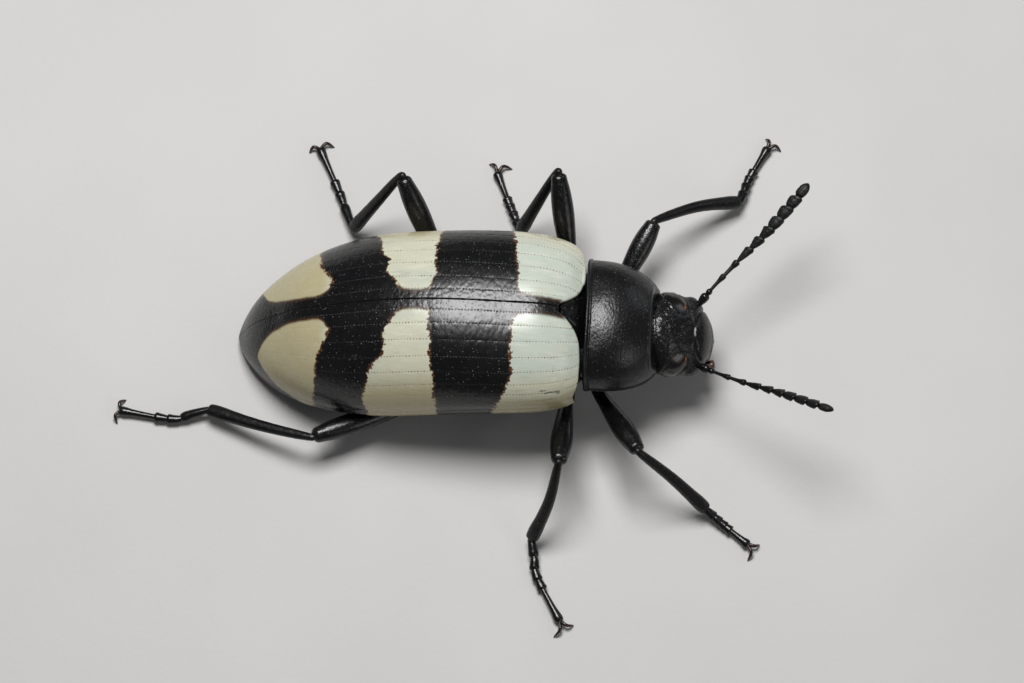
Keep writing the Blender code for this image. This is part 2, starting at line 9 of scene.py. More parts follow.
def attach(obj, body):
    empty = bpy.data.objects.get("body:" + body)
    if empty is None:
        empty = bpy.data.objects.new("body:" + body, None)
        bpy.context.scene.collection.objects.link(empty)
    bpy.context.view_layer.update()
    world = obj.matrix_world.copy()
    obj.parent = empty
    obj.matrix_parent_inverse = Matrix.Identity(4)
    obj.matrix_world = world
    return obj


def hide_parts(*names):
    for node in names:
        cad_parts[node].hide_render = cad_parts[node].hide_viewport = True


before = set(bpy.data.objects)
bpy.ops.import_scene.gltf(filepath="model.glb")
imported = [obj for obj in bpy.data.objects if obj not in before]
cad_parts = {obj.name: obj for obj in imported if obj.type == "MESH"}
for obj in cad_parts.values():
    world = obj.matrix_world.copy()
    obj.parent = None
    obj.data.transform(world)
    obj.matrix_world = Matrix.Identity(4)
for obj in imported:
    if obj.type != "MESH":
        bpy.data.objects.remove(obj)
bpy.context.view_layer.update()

MM = 0.001
FOOTPRINT_MIDDLE = (1.22, -0.66)

# Body frame, pitched head up about a point over the origin
BODY_PITCH = 8
BODY_HEIGHT = 2.3

# Wing cases: the same outline and lines as the solids, with fuller front corners
HALF_WIDTH = 2.77
WIDEST_X = -0.7
BASE_X = 4.5
REAR_LENGTH = 5.32
FRONT_LENGTH = 5.45
REAR_CURVE = (2.2, 0.62)
FRONT_CURVE = (5.5, 0.19)
BELLY_CURVE = 1.6
BELLY_DEPTH = 1.95
ROUNDNESS = 2.1
SUTURE_LINE = (
    (-6.02, -1.14), (-5.55, -0.28), (-4.5, 0.74), (-3.85, 1.2), (-2.76, 1.6), (-1.3, 2.02),
    (0.31, 2.17), (2.27, 1.97), (3.7, 1.68), (4.2, 1.42), (4.5, 1.12),
)
WIDEST_LINE = (
    (-6.02, -1.16), (-5.42, -1.1), (-4.6, -0.91), (-3.72, -0.68), (-2.2, -0.25), (-1.02, -0.03),
    (0.14, 0.12), (2.03, 0.25), (3.52, 0.14), (4.5, 0.02),
)
FOLD_ANGLE = 101
SEAM = 0.006
# How far forward the base of each wing case reaches, as (distance from the seam, x)
BASE_EDGES = {
    1: (
        (0.0, 4.0), (0.1, 3.99), (0.17, 4.06), (0.29, 4.26), (0.42, 4.42), (0.61, 4.55), (0.85, 4.61),
        (1.15, 4.62), (1.5, 4.6), (1.8, 4.54), (2.05, 4.43), (2.25, 4.28), (2.4, 4.08), (2.52, 3.8),
    ),
    -1: (
        (0.0, 4.0), (0.14, 3.97), (0.23, 4.02), (0.38, 4.22), (0.56, 4.4), (0.8, 4.54), (1.15, 4.59),
        (1.55, 4.58), (1.9, 4.53), (2.1, 4.45), (2.27, 4.33), (2.4, 4.13), (2.52, 3.8),
    ),
}
BASE_BEND_X = 2.0
BASE_CURL = 0.1
RIM_START = 0.12
TAIL_X = -2.0
FOLD_STEPS = (0, 0.08, 0.2, 0.4, 0.62)
SCUTELLUM_TIP_X = 3.98

# Striae: the rows of pits, as angles from the seam, and the spacing of the pits in a row
STRIA_ANGLES = (6, 14.2, 24.5, 35.5, 46.5, 57, 67, 76, 84)
ROW_STEP = 0.0188
ROWS_PER_PIT = 5
PIT_SPACING = ROW_STEP * ROWS_PER_PIT
PIT_SHIFT = 2 / ROWS_PER_PIT
# Worn marks near the shoulders: side, place along the body, angle, length and width in degrees
SCUFFS = (
    (-1, 3.72, 67, 0.2, 1.2), (-1, 3.93, 69, 0.07, 1.8), (-1, 3.5, 64, 0.12, 1.0),
    (1, 3.6, 64, 0.25, 0.8),
)

# The bands of a wing case: for each side three cream patches in the body frame. The rear and front
# edges of a patch are (angle from the seam, x), and its inner and outer ones (x, angle from the seam).
PATCHES = {
    1: (
        (
            ((0, -7.0), (101, -7.0)),
            ((0, -2.8), (10, -2.78), (19, -2.82), (28, -3.12), (45, -3.3), (66, -3.42), (101, -3.6)),
            (
                (-5.3, 60), (-5.15, 40), (-4.98, 24), (-4.7, 14), (-4.32, 9.5), (-3.62, 6.5),
                (-3.0, 7.5), (-2.7, 12),
            ),
            ((-5.3, 55), (-5.15, 64), (-4.6, 78), (-4.0, 92), (-3.4, 110), (-2.0, 120)),
        ),
        (
            (
                (0, -0.75), (7, -0.78), (13, -0.86), (18, -1.1), (27, -1.08), (34, -1.3),
                (46, -1.42), (71, -1.8), (101, -1.9),
            ),
            ((0, 0.3), (9, 0.31), (17, 0.39), (25, 0.32), (37, 0.29), (60, 0.33), (101, 0.35)),
            ((-1.2, 7), (-0.7, 5.4), (-0.2, 4.2), (0.4, 4.6)),
            ((-2.5, 120), (1.0, 120)),
        ),
        (
            ((0, 2.85), (4.5, 2.76), (18, 2.73), (28, 2.67), (45, 2.56), (63, 2.42), (101, 2.2)),
            ((0, 7.0), (101, 7.0)),
            ((2.4, 4.6), (2.87, 3.9), (3.38, 3.2), (3.8, 3.0), (4.1, 3.0), (4.6, 3.0)),
            ((2.0, 120), (4.6, 120)),
        ),
    ),
    -1: (
        (
            ((0, -7.0), (101, -7.0)),
            (
                (0, -2.75), (9, -2.75), (16, -2.78), (25, -2.98), (40, -3.22), (58, -3.3),
                (91, -3.5), (101, -3.55),
            ),
            (
                (-5.3, 52), (-5.2, 41), (-5.06, 29), (-4.79, 17), (-4.35, 10.5), (-3.58, 8),
                (-3.0, 9), (-2.7, 15),
            ),
            (
                (-5.3, 46), (-5.2, 52), (-5.06, 62), (-4.75, 76), (-4.32, 88), (-3.82, 94),
                (-3.3, 110), (-2.0, 120),
            ),
        ),
        (
            (
                (0, -0.8), (6, -0.82), (12, -0.88), (17, -1.09), (26, -1.09), (34, -1.18),
                (39, -1.4), (55, -1.65), (69, -1.86), (87, -1.8), (101, -1.85),
            ),
            (
                (0, 0.3), (6, 0.31), (17, 0.23), (24, 0.31), (37, 0.27), (48, 0.34), (71, 0.34),
                (101, 0.3),
            ),
            ((-1.2, 7.5), (-0.7, 5.6), (-0.2, 4.8), (0.4, 5.2)),
            ((-2.5, 120), (1.0, 120)),
        ),
        (
            (
                (0, 2.85), (5, 2.78), (12.5, 2.63), (19, 2.65), (29, 2.6), (40, 2.62), (56, 2.53),
                (66, 2.36), (80, 2.1), (101, 1.85),
            ),
            ((0, 7.0), (101, 7.0)),
            ((2.4, 5.2), (2.9, 5.4), (3.47, 5.6), (3.8, 6), (4.1, 7), (4.6, 8)),
            ((2.0, 120), (4.6, 120)),
        ),
    ),
}
CORNER_ROUNDING = 0.1

# The body under the wing cases: piece, node, front and back ends, and where its plates end
CORE_PARTS = (
    ("hind_thorax", "pterothorax", 4.46, 0.0, ()),
    ("belly", "abdomen", 0.0, -5.55, (-1.1, -2.15, -3.15, -4.1)),
)
CORE_INSET = 0.56

# Prothorax
PROTHORAX_HALF_WIDTH = 1.98
PROTHORAX_TAPER = 2.35
PROTHORAX_CURVE = (3, 0.4)
PROTHORAX_BACK_X = 4.65
PROTHORAX_FRONT_X = 6.5
HIND_ANGLE_REACH = 0.1
MARGIN_LINE = ((4.5, 0.02), (5.5, -0.2), (6.56, -0.6))
PRONOTUM_HEIGHT = ((4.5, 1.1), (5.2, 1.22), (5.9, 1.2), (6.56, 0.98))
STERNUM_DEPTH = ((4.5, 1.2), (5.5, 1.2), (6.56, 0.9))
RIM = 0.055

# Head frame
NECK = (6.5, 0.0, 2.6)
HEAD_PITCH = 28
HEAD_YAW = 5
HEAD_ROLL = 8
# Along the head: distance from the neck, half width, height above and depth below the axis
HEAD_STATIONS = (
    (-0.46, 0.12, 0.12, 0.12), (-0.4, 0.42, 0.38, 0.38), (-0.22, 0.78, 0.58, 0.6),
    (0.0, 1.0, 0.66, 0.7), (0.15, 1.17, 0.69, 0.75), (0.4, 1.23, 0.72, 0.78),
    (0.66, 1.23, 0.72, 0.76), (0.93, 1.13, 0.7, 0.7), (1.2, 1.1, 0.64, 0.6),
    (1.4, 1.05, 0.55, 0.52), (1.58, 0.86, 0.42, 0.46), (1.72, 0.68, 0.3, 0.4),
)
# The edge of an eye on the head's surface: distance from the neck and angle from the top
EYE_MIDDLE = (0.54, 76)
EYE_OUTLINE = (
    (0.23, 54), (0.27, 40), (0.39, 32), (0.54, 28), (0.69, 27), (0.81, 31), (0.87, 42), (0.85, 56),
    (0.75, 70), (0.72, 84), (0.78, 98), (0.76, 114), (0.6, 124), (0.4, 119), (0.27, 100), (0.22, 76),
)
EYE_BULGE = 0.05
# Where the painted orange glint lies on each eye: distance from the neck and angle from the top
EYE_PAINTED_GLINT = (0.77, 38)
EYE_RINGS = 46
# The left eye lies a little further back and nearer the top
EYE_SHIFTS = {1: (-0.09, -6), -1: (0, 0)}
# Along the upper lip: distance from the neck, half width and height
LABRUM_STATIONS = ((1.66, 0.6, 0.22), (1.8, 0.62, 0.2), (1.92, 0.56, 0.12), (2.0, 0.36, 0.02))
MANDIBLE_ROUTE = ((1.5, 0.5, -0.1), (1.8, 0.46, -0.28), (2.0, 0.16, -0.36))
PALP_ROUTES = {
    1: ((1.25, 0.45, -0.5), (1.6, 0.68, -0.6), (1.9, 0.62, -0.42)),
    -1: ((1.25, 0.45, -0.5), (1.68, 0.72, -0.5), (2.12, 0.66, -0.1)),
}
PALP_CUTS = (0, 0.24, 0.5, 0.68, 1.0)
PALP_WIDTHS = (0.07, 0.09, 0.08, 0.15)

# Feelers: length, half width and half thickness of the eleven segments, from the head outwards
ANTENNA_LENGTHS = (0.62, 0.18, 0.62, 0.58, 0.54, 0.43, 0.42, 0.41, 0.43, 0.41, 0.58)
ANTENNA_WIDTHS = (0.13, 0.09, 0.082, 0.095, 0.12, 0.145, 0.165, 0.18, 0.185, 0.18, 0.15)
ANTENNA_DEPTHS = (0.13, 0.09, 0.078, 0.085, 0.095, 0.105, 0.115, 0.12, 0.12, 0.12, 0.1)
ANTENNA_SOCKET = (1.22, 0.8, 0.2)
ANTENNA_ROLLS = {1: 10, -1: 55}
# Share of the way along a segment and share of its width, up to the last segment with the form
ANTENNA_FORMS = (
    (0, ((0, 0.5), (0.35, 0.6), (0.68, 1.0), (0.88, 0.98), (1, 0.6))),
    (1, ((0, 0.5), (0.35, 0.95), (0.65, 1.05), (1, 0.6))),
    (3, ((0, 0.6), (0.2, 0.62), (0.6, 0.78), (0.82, 1.08), (0.93, 1.05), (1, 0.6))),
    (6, ((0, 0.4), (0.1, 0.46), (0.4, 0.72), (0.75, 1.0), (0.92, 1.08), (0.97, 0.95), (1, 0.6))),
    (9, (
        (0, 0.36), (0.08, 0.4), (0.2, 0.7), (0.45, 0.93), (0.75, 1.03), (0.92, 1.02), (0.97, 0.9),
        (1, 0.5),
    )),
    (10, ((0, 0.35), (0.08, 0.45), (0.25, 0.9), (0.5, 1.04), (0.75, 0.9), (0.92, 0.5), (1, 0.2))),
)
ANTENNA_ROUTES = {
    "left": ((8.11, 1.44, 2.6), (8.86, 2.28, 2.87), (9.74, 3.22, 3.2), (10.82, 4.52, 3.7)),
    "right": ((8.39, -1.11, 2.45), (9.25, -1.53, 2.87), (10.26, -1.97, 3.4), (11.77, -2.66, 4.1)),
}

# Legs from the body outwards, as in the solids. The bow is how far the middle of the shin lies off
# the straight line, and each claw has a heading in degrees and a reach.
LEG_POINTS = ("coxa", "femur", "knee", "bow", "ankle", "instep", "foot", "claws")
LEGS = {
    "front_left": (
        (5.0, 0.7, 1.3), (5.18, 1.35, 1.15), (6.36, 3.77, 1.9), (0.0, 0.12, 0.08),
        (8.87, 5.1, 0.42), (9.16, 5.99), (9.68, 7.02), ((-10, 0.4), (108, 0.34)),
    ),
    "front_right": (
        (5.0, -0.7, 1.3), (4.78, -1.2, 1.15), (6.21, -3.74, 2.7), (0.0, 0.04, 0.06),
        (8.3, -4.65, 0.42), (8.96, -5.13), (9.59, -5.6), ((16, 0.34), (-92, 0.44)),
    ),
    "middle_left": (
        (3.85, 0.85, 1.15), (4.08, 1.5, 1.05), (3.43, 4.71, 3.05), (0.0, 0.0, 0.08),
        (2.37, 3.79, 0.45), (1.87, 4.99), (1.54, 5.77), ((19, 0.5), (131, 0.38)),
    ),
    "middle_right": (
        (3.85, -0.85, 1.15), (4.05, -1.45, 1.05), (3.92, -4.28, 2.9), (0.11, -0.05, 0.06),
        (3.22, -5.84, 0.42), (3.45, -6.94), (4.2, -8.26), ((-3, 0.4), (-113, 0.46)),
    ),
    "hind_left": (
        (0.42, 0.85, 0.85), (0.5, 1.7, 0.62), (-1.17, 4.34, 3.0), (0.0, 0.0, 0.08),
        (-2.64, 3.59, 0.42), (-3.17, 4.88), (-3.84, 6.26), ((10, 0.46), (-154, 0.34)),
    ),
    "hind_right": (
        (0.42, -0.85, 0.85), (0.2, -1.6, 0.62), (-3.38, -3.33, 1.25), (0.02, -0.08, 0.03),
        (-6.54, -2.36, 0.42), (-7.59, -2.65), (-9.2, -2.45), ((64, 0.44), (-92, 0.38)),
    ),
}
INSTEP_HEIGHT = 0.19
FOOT_HEIGHT = 0.165
FRONT_TARSUS_SHARES = (0.22, 0.135, 0.125, 0.11, 0.41)
HIND_TARSUS_SHARES = (0.33, 0.15, 0.13, 0.39)
HAIRS_PER_TARSUS = 420
COXA_SIZE = (0.42, 0.52, 0.42)

# Limbs: share of the way, half width and half thickness
TROCHANTER_SHAPE = ((0, 0.2, 0.2), (0.5, 0.24, 0.24), (0.8, 0.23, 0.23), (1, 0.15, 0.15))
FEMUR_SHAPE = (
    (0, 0.13, 0.12), (0.1, 0.18, 0.16), (0.3, 0.23, 0.2), (0.5, 0.29, 0.25), (0.68, 0.325, 0.28),
    (0.84, 0.295, 0.26), (0.94, 0.24, 0.22), (1, 0.21, 0.19),
)
TIBIA_SHAPE = (
    (0, 0.1, 0.1), (0.06, 0.115, 0.11), (0.14, 0.13, 0.12), (0.45, 0.16, 0.14),
    (0.75, 0.185, 0.16), (0.92, 0.205, 0.17), (1, 0.185, 0.15),
)
SPUR_SHAPE = ((0, 0.03, 0.03), (0.6, 0.022, 0.022), (1, 0.004, 0.004))
TARSUS_SHAPE = (
    (0, 0.09, 0.095), (0.2, 0.115, 0.11), (0.6, 0.14, 0.13), (0.88, 0.148, 0.128), (1, 0.11, 0.1),
)
LAST_TARSUS_SHAPE = (
    (0, 0.085, 0.09), (0.25, 0.09, 0.095), (0.65, 0.112, 0.11), (0.92, 0.14, 0.125), (1, 0.12, 0.1),
)
CLAW_SHAPE = (
    (0, 0.06, 0.065), (0.3, 0.055, 0.06), (0.6, 0.045, 0.05), (0.85, 0.028, 0.03), (1, 0.007, 0.007),
)
HAIR_SHAPE = ((0, 0.008, 0.008), (1, 0.003, 0.003))
MANDIBLE_SHAPE = ((0, 0.19, 0.15), (0.5, 0.17, 0.13), (0.8, 0.1, 0.09), (1, 0.03, 0.03))

# The roughness of each surface: grain as (height, size) and pits as (depth, spacing, radius)
RELIEFS = {
    "scutellum": ((0.004, 0.08), (0.01, 0.1, 0.025)),
    "core": ((-0.006, 0.07), (-0.015, 0.14, 0.03)),
    "prothorax": ((0.0008, 0.08), (0.0065, 0.068, 0.015)),
    "labrum": ((0.006, 0.09), (0.006, 0.1, 0.022)),
    "antenna": ((0.004, 0.04), (0.006, 0.06, 0.012)),
    "coxa": ((0.003, 0.06), (0.01, 0.1, 0.02)),
    "femur": ((0.002, 0.05), (0.007, 0.075, 0.016)),
    "tibia": ((0.003, 0.06), (0.008, 0.085, 0.018)),
    "tarsus": ((0.001, 0.05), (0.002, 0.1, 0.02)),
}

# How strongly the cuticle reflects, where 0.5 is an index of refraction of 1.5
GLOSS = 0.5
DULL = 0.3
# Black cuticles: roughness, grain as (size, height), pits as (spacing, depth), the amount of pale
# specks (painted glints, partly dust) and gloss
CUTICLES = {
    "pronotum": (0.3, (0.03, 0.0018), (0.07, 0.004), 0.4, GLOSS),
    "head": (0.27, (0.035, 0.003), (0.08, 0.008), 0.5, GLOSS),
    "sternum": (0.3, (0.05, 0.002), (0.14, 0.008), 0.2, GLOSS),
    "femur": (0.23, (0.03, 0.0014), (0.06, 0.004), 0.2, GLOSS),
    "tibia": (0.34, (0.035, 0.003), (0.07, 0.006), 0.3, DULL),
    "tarsus": (0.22, (0.04, 0.001), (0.12, 0.002), 0.0, GLOSS),
    "antenna": (0.42, (0.03, 0.003), (0.06, 0.004), 0.2, DULL),
    "scape": (0.18, (0.04, 0.0008), (0.12, 0.002), 0.0, GLOSS),
    "labrum": (0.26, (0.04, 0.001), (0.14, 0.003), 0.0, GLOSS),
}

# Camera, aimed at a point in the beetle frame, with the photograph's size in pixels
PHOTO_WIDTH = 1024
CAMERA_TURN = 3.2
CAMERA_HEIGHT = 70
CAMERA_DISTANCE = 150.0
CAMERA_TARGET = (2.344, -0.317, 2.048)
PIXELS_PER_MM = 34.07
SENSOR = 36.0

# Lights: name, place, aim, size, watts and colour
LIGHTS = (
    ("key", (-7, 22, 82), (0, 0, 2), (40, 34), 0.074, (1, 1, 1)),
    ("fill_right", (70, -40, 50), (0, 0, 1), (40, 40), 0.0075, (1, 0.98, 0.95)),
    ("fill_left", (70, 60, 40), (0, 0, 1), (30, 30), 0.0035, (0.93, 0.96, 1)),
)
WORLD_COLOUR = (0.9, 0.93, 1, 1)
WORLD_STRENGTH = 0.1
FLOOR_REACH = 0.4


def unit(values):
    return np.clip(values, 0, 1)


def direction(vectors):
    return vectors / np.linalg.norm(vectors, axis=-1, keepdims=True)


def mirrored(points, side):
    return np.array(points, float) * np.array([1, side, 1])


def signed_power(values, power):
    return np.sign(values) * np.abs(values) ** power


def bell(x, middle, width):
    return np.exp(-(((x - middle) / width) ** 2))


def rounded(distance, reach):
    # A quarter of an ellipse, which rises from 0 to 1 within the reach
    return np.sqrt(unit(1 - unit(1 - distance / reach) ** 2))


def eased(count):
    # Numbers from 0 to 1 that are closer together near both ends
    return 0.5 - 0.5 * np.cos(np.linspace(0, pi, count))


def curve_value(line, x):
    # A smooth curve through the (x, value) pairs of a line that is sorted by x
    xs, ys = np.array(line, float).T
    slopes = np.gradient(ys, xs)
    x = np.asarray(x, float)
    i = np.clip(np.searchsorted(xs, x) - 1, 0, len(xs) - 2)
    span = xs[i + 1] - xs[i]
    t = unit((x - xs[i]) / span)
    a, b = 2 * t**3 - 3 * t**2 + 1, t**3 - 2 * t**2 + t
    c, d = -2 * t**3 + 3 * t**2, t**3 - t**2
    return a * ys[i] + b * span * slopes[i] + c * ys[i + 1] + d * span * slopes[i + 1]


def column_values(table, x, *columns):
    # The curve of each wanted column of a table whose first column is x
    return [curve_value([(row[0], row[k]) for row in table], x) for k in columns]


def lattice(cell, seed):
    # A repeatable random number from 0 to 1 for each cell of a grid in space
    x, y, z = (cell[..., k] * prime for k, prime in enumerate((73856093, 19349663, 83492791)))
    mixed = x ^ y ^ z ^ (seed * 7919)
    mixed = (mixed ^ (mixed >> 13)) & 0xFFFFFFFF
    mixed = (mixed * 1274126177) & 0xFFFFFFFF
    return ((mixed ^ (mixed >> 15)) & 0xFFFFF) / 0xFFFFF


def cells_and_parts(points, size):
    cell = np.floor(points / size).astype(np.int64)
    return cell, points / size - cell


def ripple(points, size, seed=0):
    # Smooth noise from -1 to 1 whose bumps are about as wide as size
    cell, part = cells_and_parts(points, size)
    part = part * part * (3 - 2 * part)
    total = 0
    for corner in product((0, 1), repeat=3):
        share = np.prod(np.where(np.array(corner, bool), part, 1 - part), axis=-1)
        total = total + share * lattice(cell + np.array(corner), seed)
    return 2 * total - 1


def pit_distance(points, size, seed=0):
    # Distance to the nearest of many scattered spots, one in each cell as wide as size
    cell = cells_and_parts(points, size)[0]
    nearest = np.full(points.shape[:-1], 9.0)
    for corner in product((-1, 0, 1), repeat=3):
        other = cell + np.array(corner)
        place = other + np.stack([lattice(other, seed + k) for k in (1, 2, 3)], -1)
        nearest = np.minimum(nearest, np.linalg.norm(points / size - place, axis=-1))
    return nearest * size


def grid_normals(grid, closed=False):
    wide = np.concatenate([grid[:, -1:], grid, grid[:, :1]], 1) if closed else grid
    normal = np.cross(np.gradient(wide, axis=0), np.gradient(wide, axis=1))
    normal = normal[:, 1:-1] if closed else normal
    return normal / np.clip(np.linalg.norm(normal, axis=-1), 1e-9, None)[..., None]


def relief(grid, part, closed=True, keep=1.0):
    (height, size), (depth, spacing, radius) = RELIEFS[part]
    rise = height * (ripple(grid, size) + 0.5 * ripple(grid, size / 2, 5))
    rise = rise - depth * bell(pit_distance(grid, spacing), 0, radius)
    return grid + grid_normals(grid, closed) * (rise * keep)[..., None]


def walked_along(points):
    # How far along its line each point is
    steps = np.linalg.norm(np.diff(points, axis=-2), axis=-1)
    return np.concatenate([np.zeros_like(steps[..., :1]), np.cumsum(steps, axis=-1)], axis=-1)


def route_points(points, samples=40):
    # Points along a smooth line through a few points, and how far along each is
    points = np.array([tuple(p) for p in points], float)
    knots = np.vstack([2 * points[0] - points[1], points, 2 * points[-1] - points[-2]])
    line = []
    for a, b, c, d in zip(knots, knots[1:], knots[2:], knots[3:]):
        for t in np.arange(samples) / samples:
            bend = 2 * a - 5 * b + 4 * c - d
            twist = 3 * b - a - 3 * c + d
            line.append(0.5 * (2 * b + (c - a) * t + bend * t**2 + twist * t**3))
    line = np.array([*line, points[-1]])
    return line, walked_along(line)


def spots_on(line, walked, distances):
    return np.stack([np.interp(distances, walked, line[:, k]) for k in range(3)], -1)


def body_to_beetle(points):
    angle = radians(BODY_PITCH)
    x, y, z = points[..., 0], points[..., 1], points[..., 2]
    forward = x * cos(angle) - z * sin(angle)
    return np.stack([forward, y, BODY_HEIGHT + x * sin(angle) + z * cos(angle)], -1)


def head_to_beetle(points):
    pitch, yaw, roll = radians(HEAD_PITCH), radians(HEAD_YAW), radians(HEAD_ROLL)
    x, y, z = points[..., 0], points[..., 1], points[..., 2]
    y, z = y * cos(roll) - z * sin(roll), y * sin(roll) + z * cos(roll)
    forward, height = x * cos(pitch) + z * sin(pitch), -x * sin(pitch) + z * cos(pitch)
    across = forward * sin(yaw) + y * cos(yaw)
    return np.stack([forward * cos(yaw) - y * sin(yaw), across, height], -1) + np.array(NECK)


def add_object(name, data):
    made = bpy.data.objects.new(name, data)
    bpy.context.scene.collection.objects.link(made)
    return made


class Shape:
    # Gathers grids of points, in the beetle frame, into one mesh
    def __init__(self, *grids, **settings):
        self.points, self.quads, self.layers, self.slots = [], [], {}, []
        self.count = 0
        for grid in grids:
            self.add(grid, **settings)

    def add(self, grid, closed=True, flip=False, slot=0, **layers):
        rows, columns = grid.shape[:2]
        r = np.arange(rows - 1)[:, None]
        c = np.arange(columns if closed else columns - 1)[None, :]
        n = (c + 1) % columns
        corners = (r * columns + c, (r + 1) * columns + c, (r + 1) * columns + n, r * columns + n)
        quads = np.stack(corners, -1).reshape(-1, 4)
        self.points.append(grid.reshape(-1, 3))
        self.quads.append((quads[:, ::-1] if flip else quads) + self.count)
        self.slots.append(np.full(len(quads), slot))
        for name, values in layers.items():
            self.layers.setdefault(name, []).append(np.broadcast_to(values, (rows, columns)).ravel())
        self.count += rows * columns

    def build(self, name, materials, slot_name, *nodes):
        points = np.concatenate(self.points) - np.array([*FOOTPRINT_MIDDLE, 0])
        quads = np.concatenate(self.quads).astype(np.int32)
        mesh = bpy.data.meshes.new(name)
        mesh.vertices.add(len(points))
        mesh.vertices.foreach_set("co", (points * MM).astype(np.float32).ravel())
        mesh.loops.add(quads.size)
        mesh.loops.foreach_set("vertex_index", quads.ravel())
        mesh.polygons.add(len(quads))
        mesh.polygons.foreach_set("loop_start", np.arange(0, quads.size, 4, dtype=np.int32))
        mesh.polygons.foreach_set("loop_total", np.full(len(quads), 4, dtype=np.int32))
        mesh.polygons.foreach_set("material_index", np.concatenate(self.slots).astype(np.int32))
        mesh.update(calc_edges=True)
        mesh.validate()
        for layer, values in self.layers.items():
            attribute = mesh.attributes.new(layer, "FLOAT", "POINT")
            attribute.data.foreach_set("value", np.concatenate(values).astype(np.float32))
        mesh.shade_smooth()
        for material in materials:
            mesh.materials.append(MATERIALS[material])
        piece = add_object(name, mesh)
        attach(piece, "root")
        if nodes:
            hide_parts(*nodes)


def tube(route, shape, rows, columns, start_cap=0.05, end_cap=0.05, roll=0.0, squareness=2.0):
    # Rings along a smooth line; shape holds (share of the way, half width, half thickness)
    line, walked = route_points(route)
    shares = eased(rows)
    at, step = shares * walked[-1], 0.01 * walked[-1]
    centres = spots_on(line, walked, at)
    ahead = direction(spots_on(line, walked, at + step) - spots_on(line, walked, at - step))
    side = direction(np.cross(ahead, (0, 0, 1)))
    side = side * cos(radians(roll)) + np.cross(side, ahead) * sin(radians(roll))
    up = np.cross(side, ahead)
    width, depth = column_values(shape, shares, 1, 2)
    cap = np.maximum(rounded(shares, start_cap) * rounded(1 - shares, end_cap), 0.002)
    angle = np.linspace(0, tau, columns, endpoint=False)
    across, along = (signed_power(wave, 2 / squareness) for wave in (np.cos(angle), np.sin(angle)))
    grid = centres[:, None, :] + side[:, None, :] * (width * cap)[:, None, None] * across[None, :, None]
    grid = grid + up[:, None, :] * (depth * cap)[:, None, None] * along[None, :, None]
    return grid, shares, angle, ahead


def tube_grid(*values, **settings):
    return tube(*values, **settings)[0]


class Nodes:
    # Builds a material's node tree in a few words; an input is a number, a colour or an output
    def __init__(self, name):
        self.material = bpy.data.materials.new(name)
        self.material.use_nodes = True
        self.tree = self.material.node_tree
        self.shader = self.tree.nodes["Principled BSDF"]

    def put(self, socket, value):
        if isinstance(value, bpy.types.NodeSocket):
            self.tree.links.new(value, socket)
        elif isinstance(value, tuple) and len(value) == 3 and socket.type == "RGBA":
            socket.default_value = (*value, 1)
        else:
            socket.default_value = value

    def add(self, kind, inputs, output=0, **settings):
        node = self.tree.nodes.new("ShaderNode" + kind)
        for key, value in settings.items():
            setattr(node, key, value)
        for key, value in inputs.items():
            self.put(node.inputs[key], value)
        return node.outputs[output]

    def set(self, **values):
        for key, value in values.items():
            self.put(self.shader.inputs[key.replace("_", " ")], value)

    def math(self, operation, *values):
        return self.add("Math", dict(enumerate(values)), operation=operation)

    def times(self, first, second):
        return self.math("MULTIPLY", first, second)

    def scaled(self, value, factor, addend):
        return self.math("MULTIPLY_ADD", value, factor, addend)

    def step(self, value, low, high):
        # Rises smoothly from 0 at low to 1 at high
        inputs = {"Value": value, "From Min": low, "From Max": high}
        return self.add("MapRange", inputs, interpolation_type="SMOOTHSTEP")

    def spread(self, value, low, high, start=0.0, end=1.0):
        # Runs evenly from low at start to high at end
        inputs = {"Value": value, "From Min": start, "From Max": end, "To Min": low, "To Max": high}
        return self.add("MapRange", inputs)

    def mix(self, share, first, second):
        node = self.tree.nodes.new("ShaderNodeMix")
        node.data_type = "RGBA"
        self.put(node.inputs["Factor"], share)
        for name, value in (("A", first), ("B", second)):
            self.put([s for s in node.inputs if s.name == name and s.type == "RGBA"][0], value)
        return [s for s in node.outputs if s.type == "RGBA"][0]

    def place(self, stretch=(1, 1, 1)):
        # The place on the part in millimetres
        spot = self.add("TexCoord", {}, "Object")
        scale = tuple(s / MM for s in stretch)
        return self.add("VectorMath", {0: spot, 1: scale}, operation="MULTIPLY")

    def noise(self, size, detail=2.0, stretch=(1, 1, 1), roughness=0.5):
        inputs = {"Vector": self.place(stretch), "Scale": 1 / size, "Detail": detail}
        return self.add("TexNoise", {**inputs, "Roughness": roughness}, "Fac")

    def cloud(self, size, detail, low, high, **looks):
        return self.step(self.noise(size, detail, **looks), low, high)

    def cells(self, size, output="Distance", randomness=1.0):
        inputs = {"Vector": self.place(), "Scale": 1 / size, "Randomness": randomness}
        return self.add("TexVoronoi", inputs, output, feature="F1")

    def layer(self, name):
        return self.add("Attribute", {}, "Fac", attribute_name=name)

    def glint_and_dust_specks(self, spacing, amount):
        # Scattered pale specks: painted glints off the pits, partly real dust
        spot = self.step(self.cells(spacing), 0.16, 0.06)
        chosen = self.step(self.cells(spacing, "Color"), 0.5, 0.75)
        return self.times(self.times(spot, chosen), amount)

    def bump(self, height, depth, normal=None):
        # The height runs from 0 to 1 and stands for depth, in millimetres
        inputs = {"Height": height, "Distance": depth * MM, "Strength": 1.0}
        if normal is not None:
            inputs["Normal"] = normal
        return self.add("Bump", inputs, "Normal")


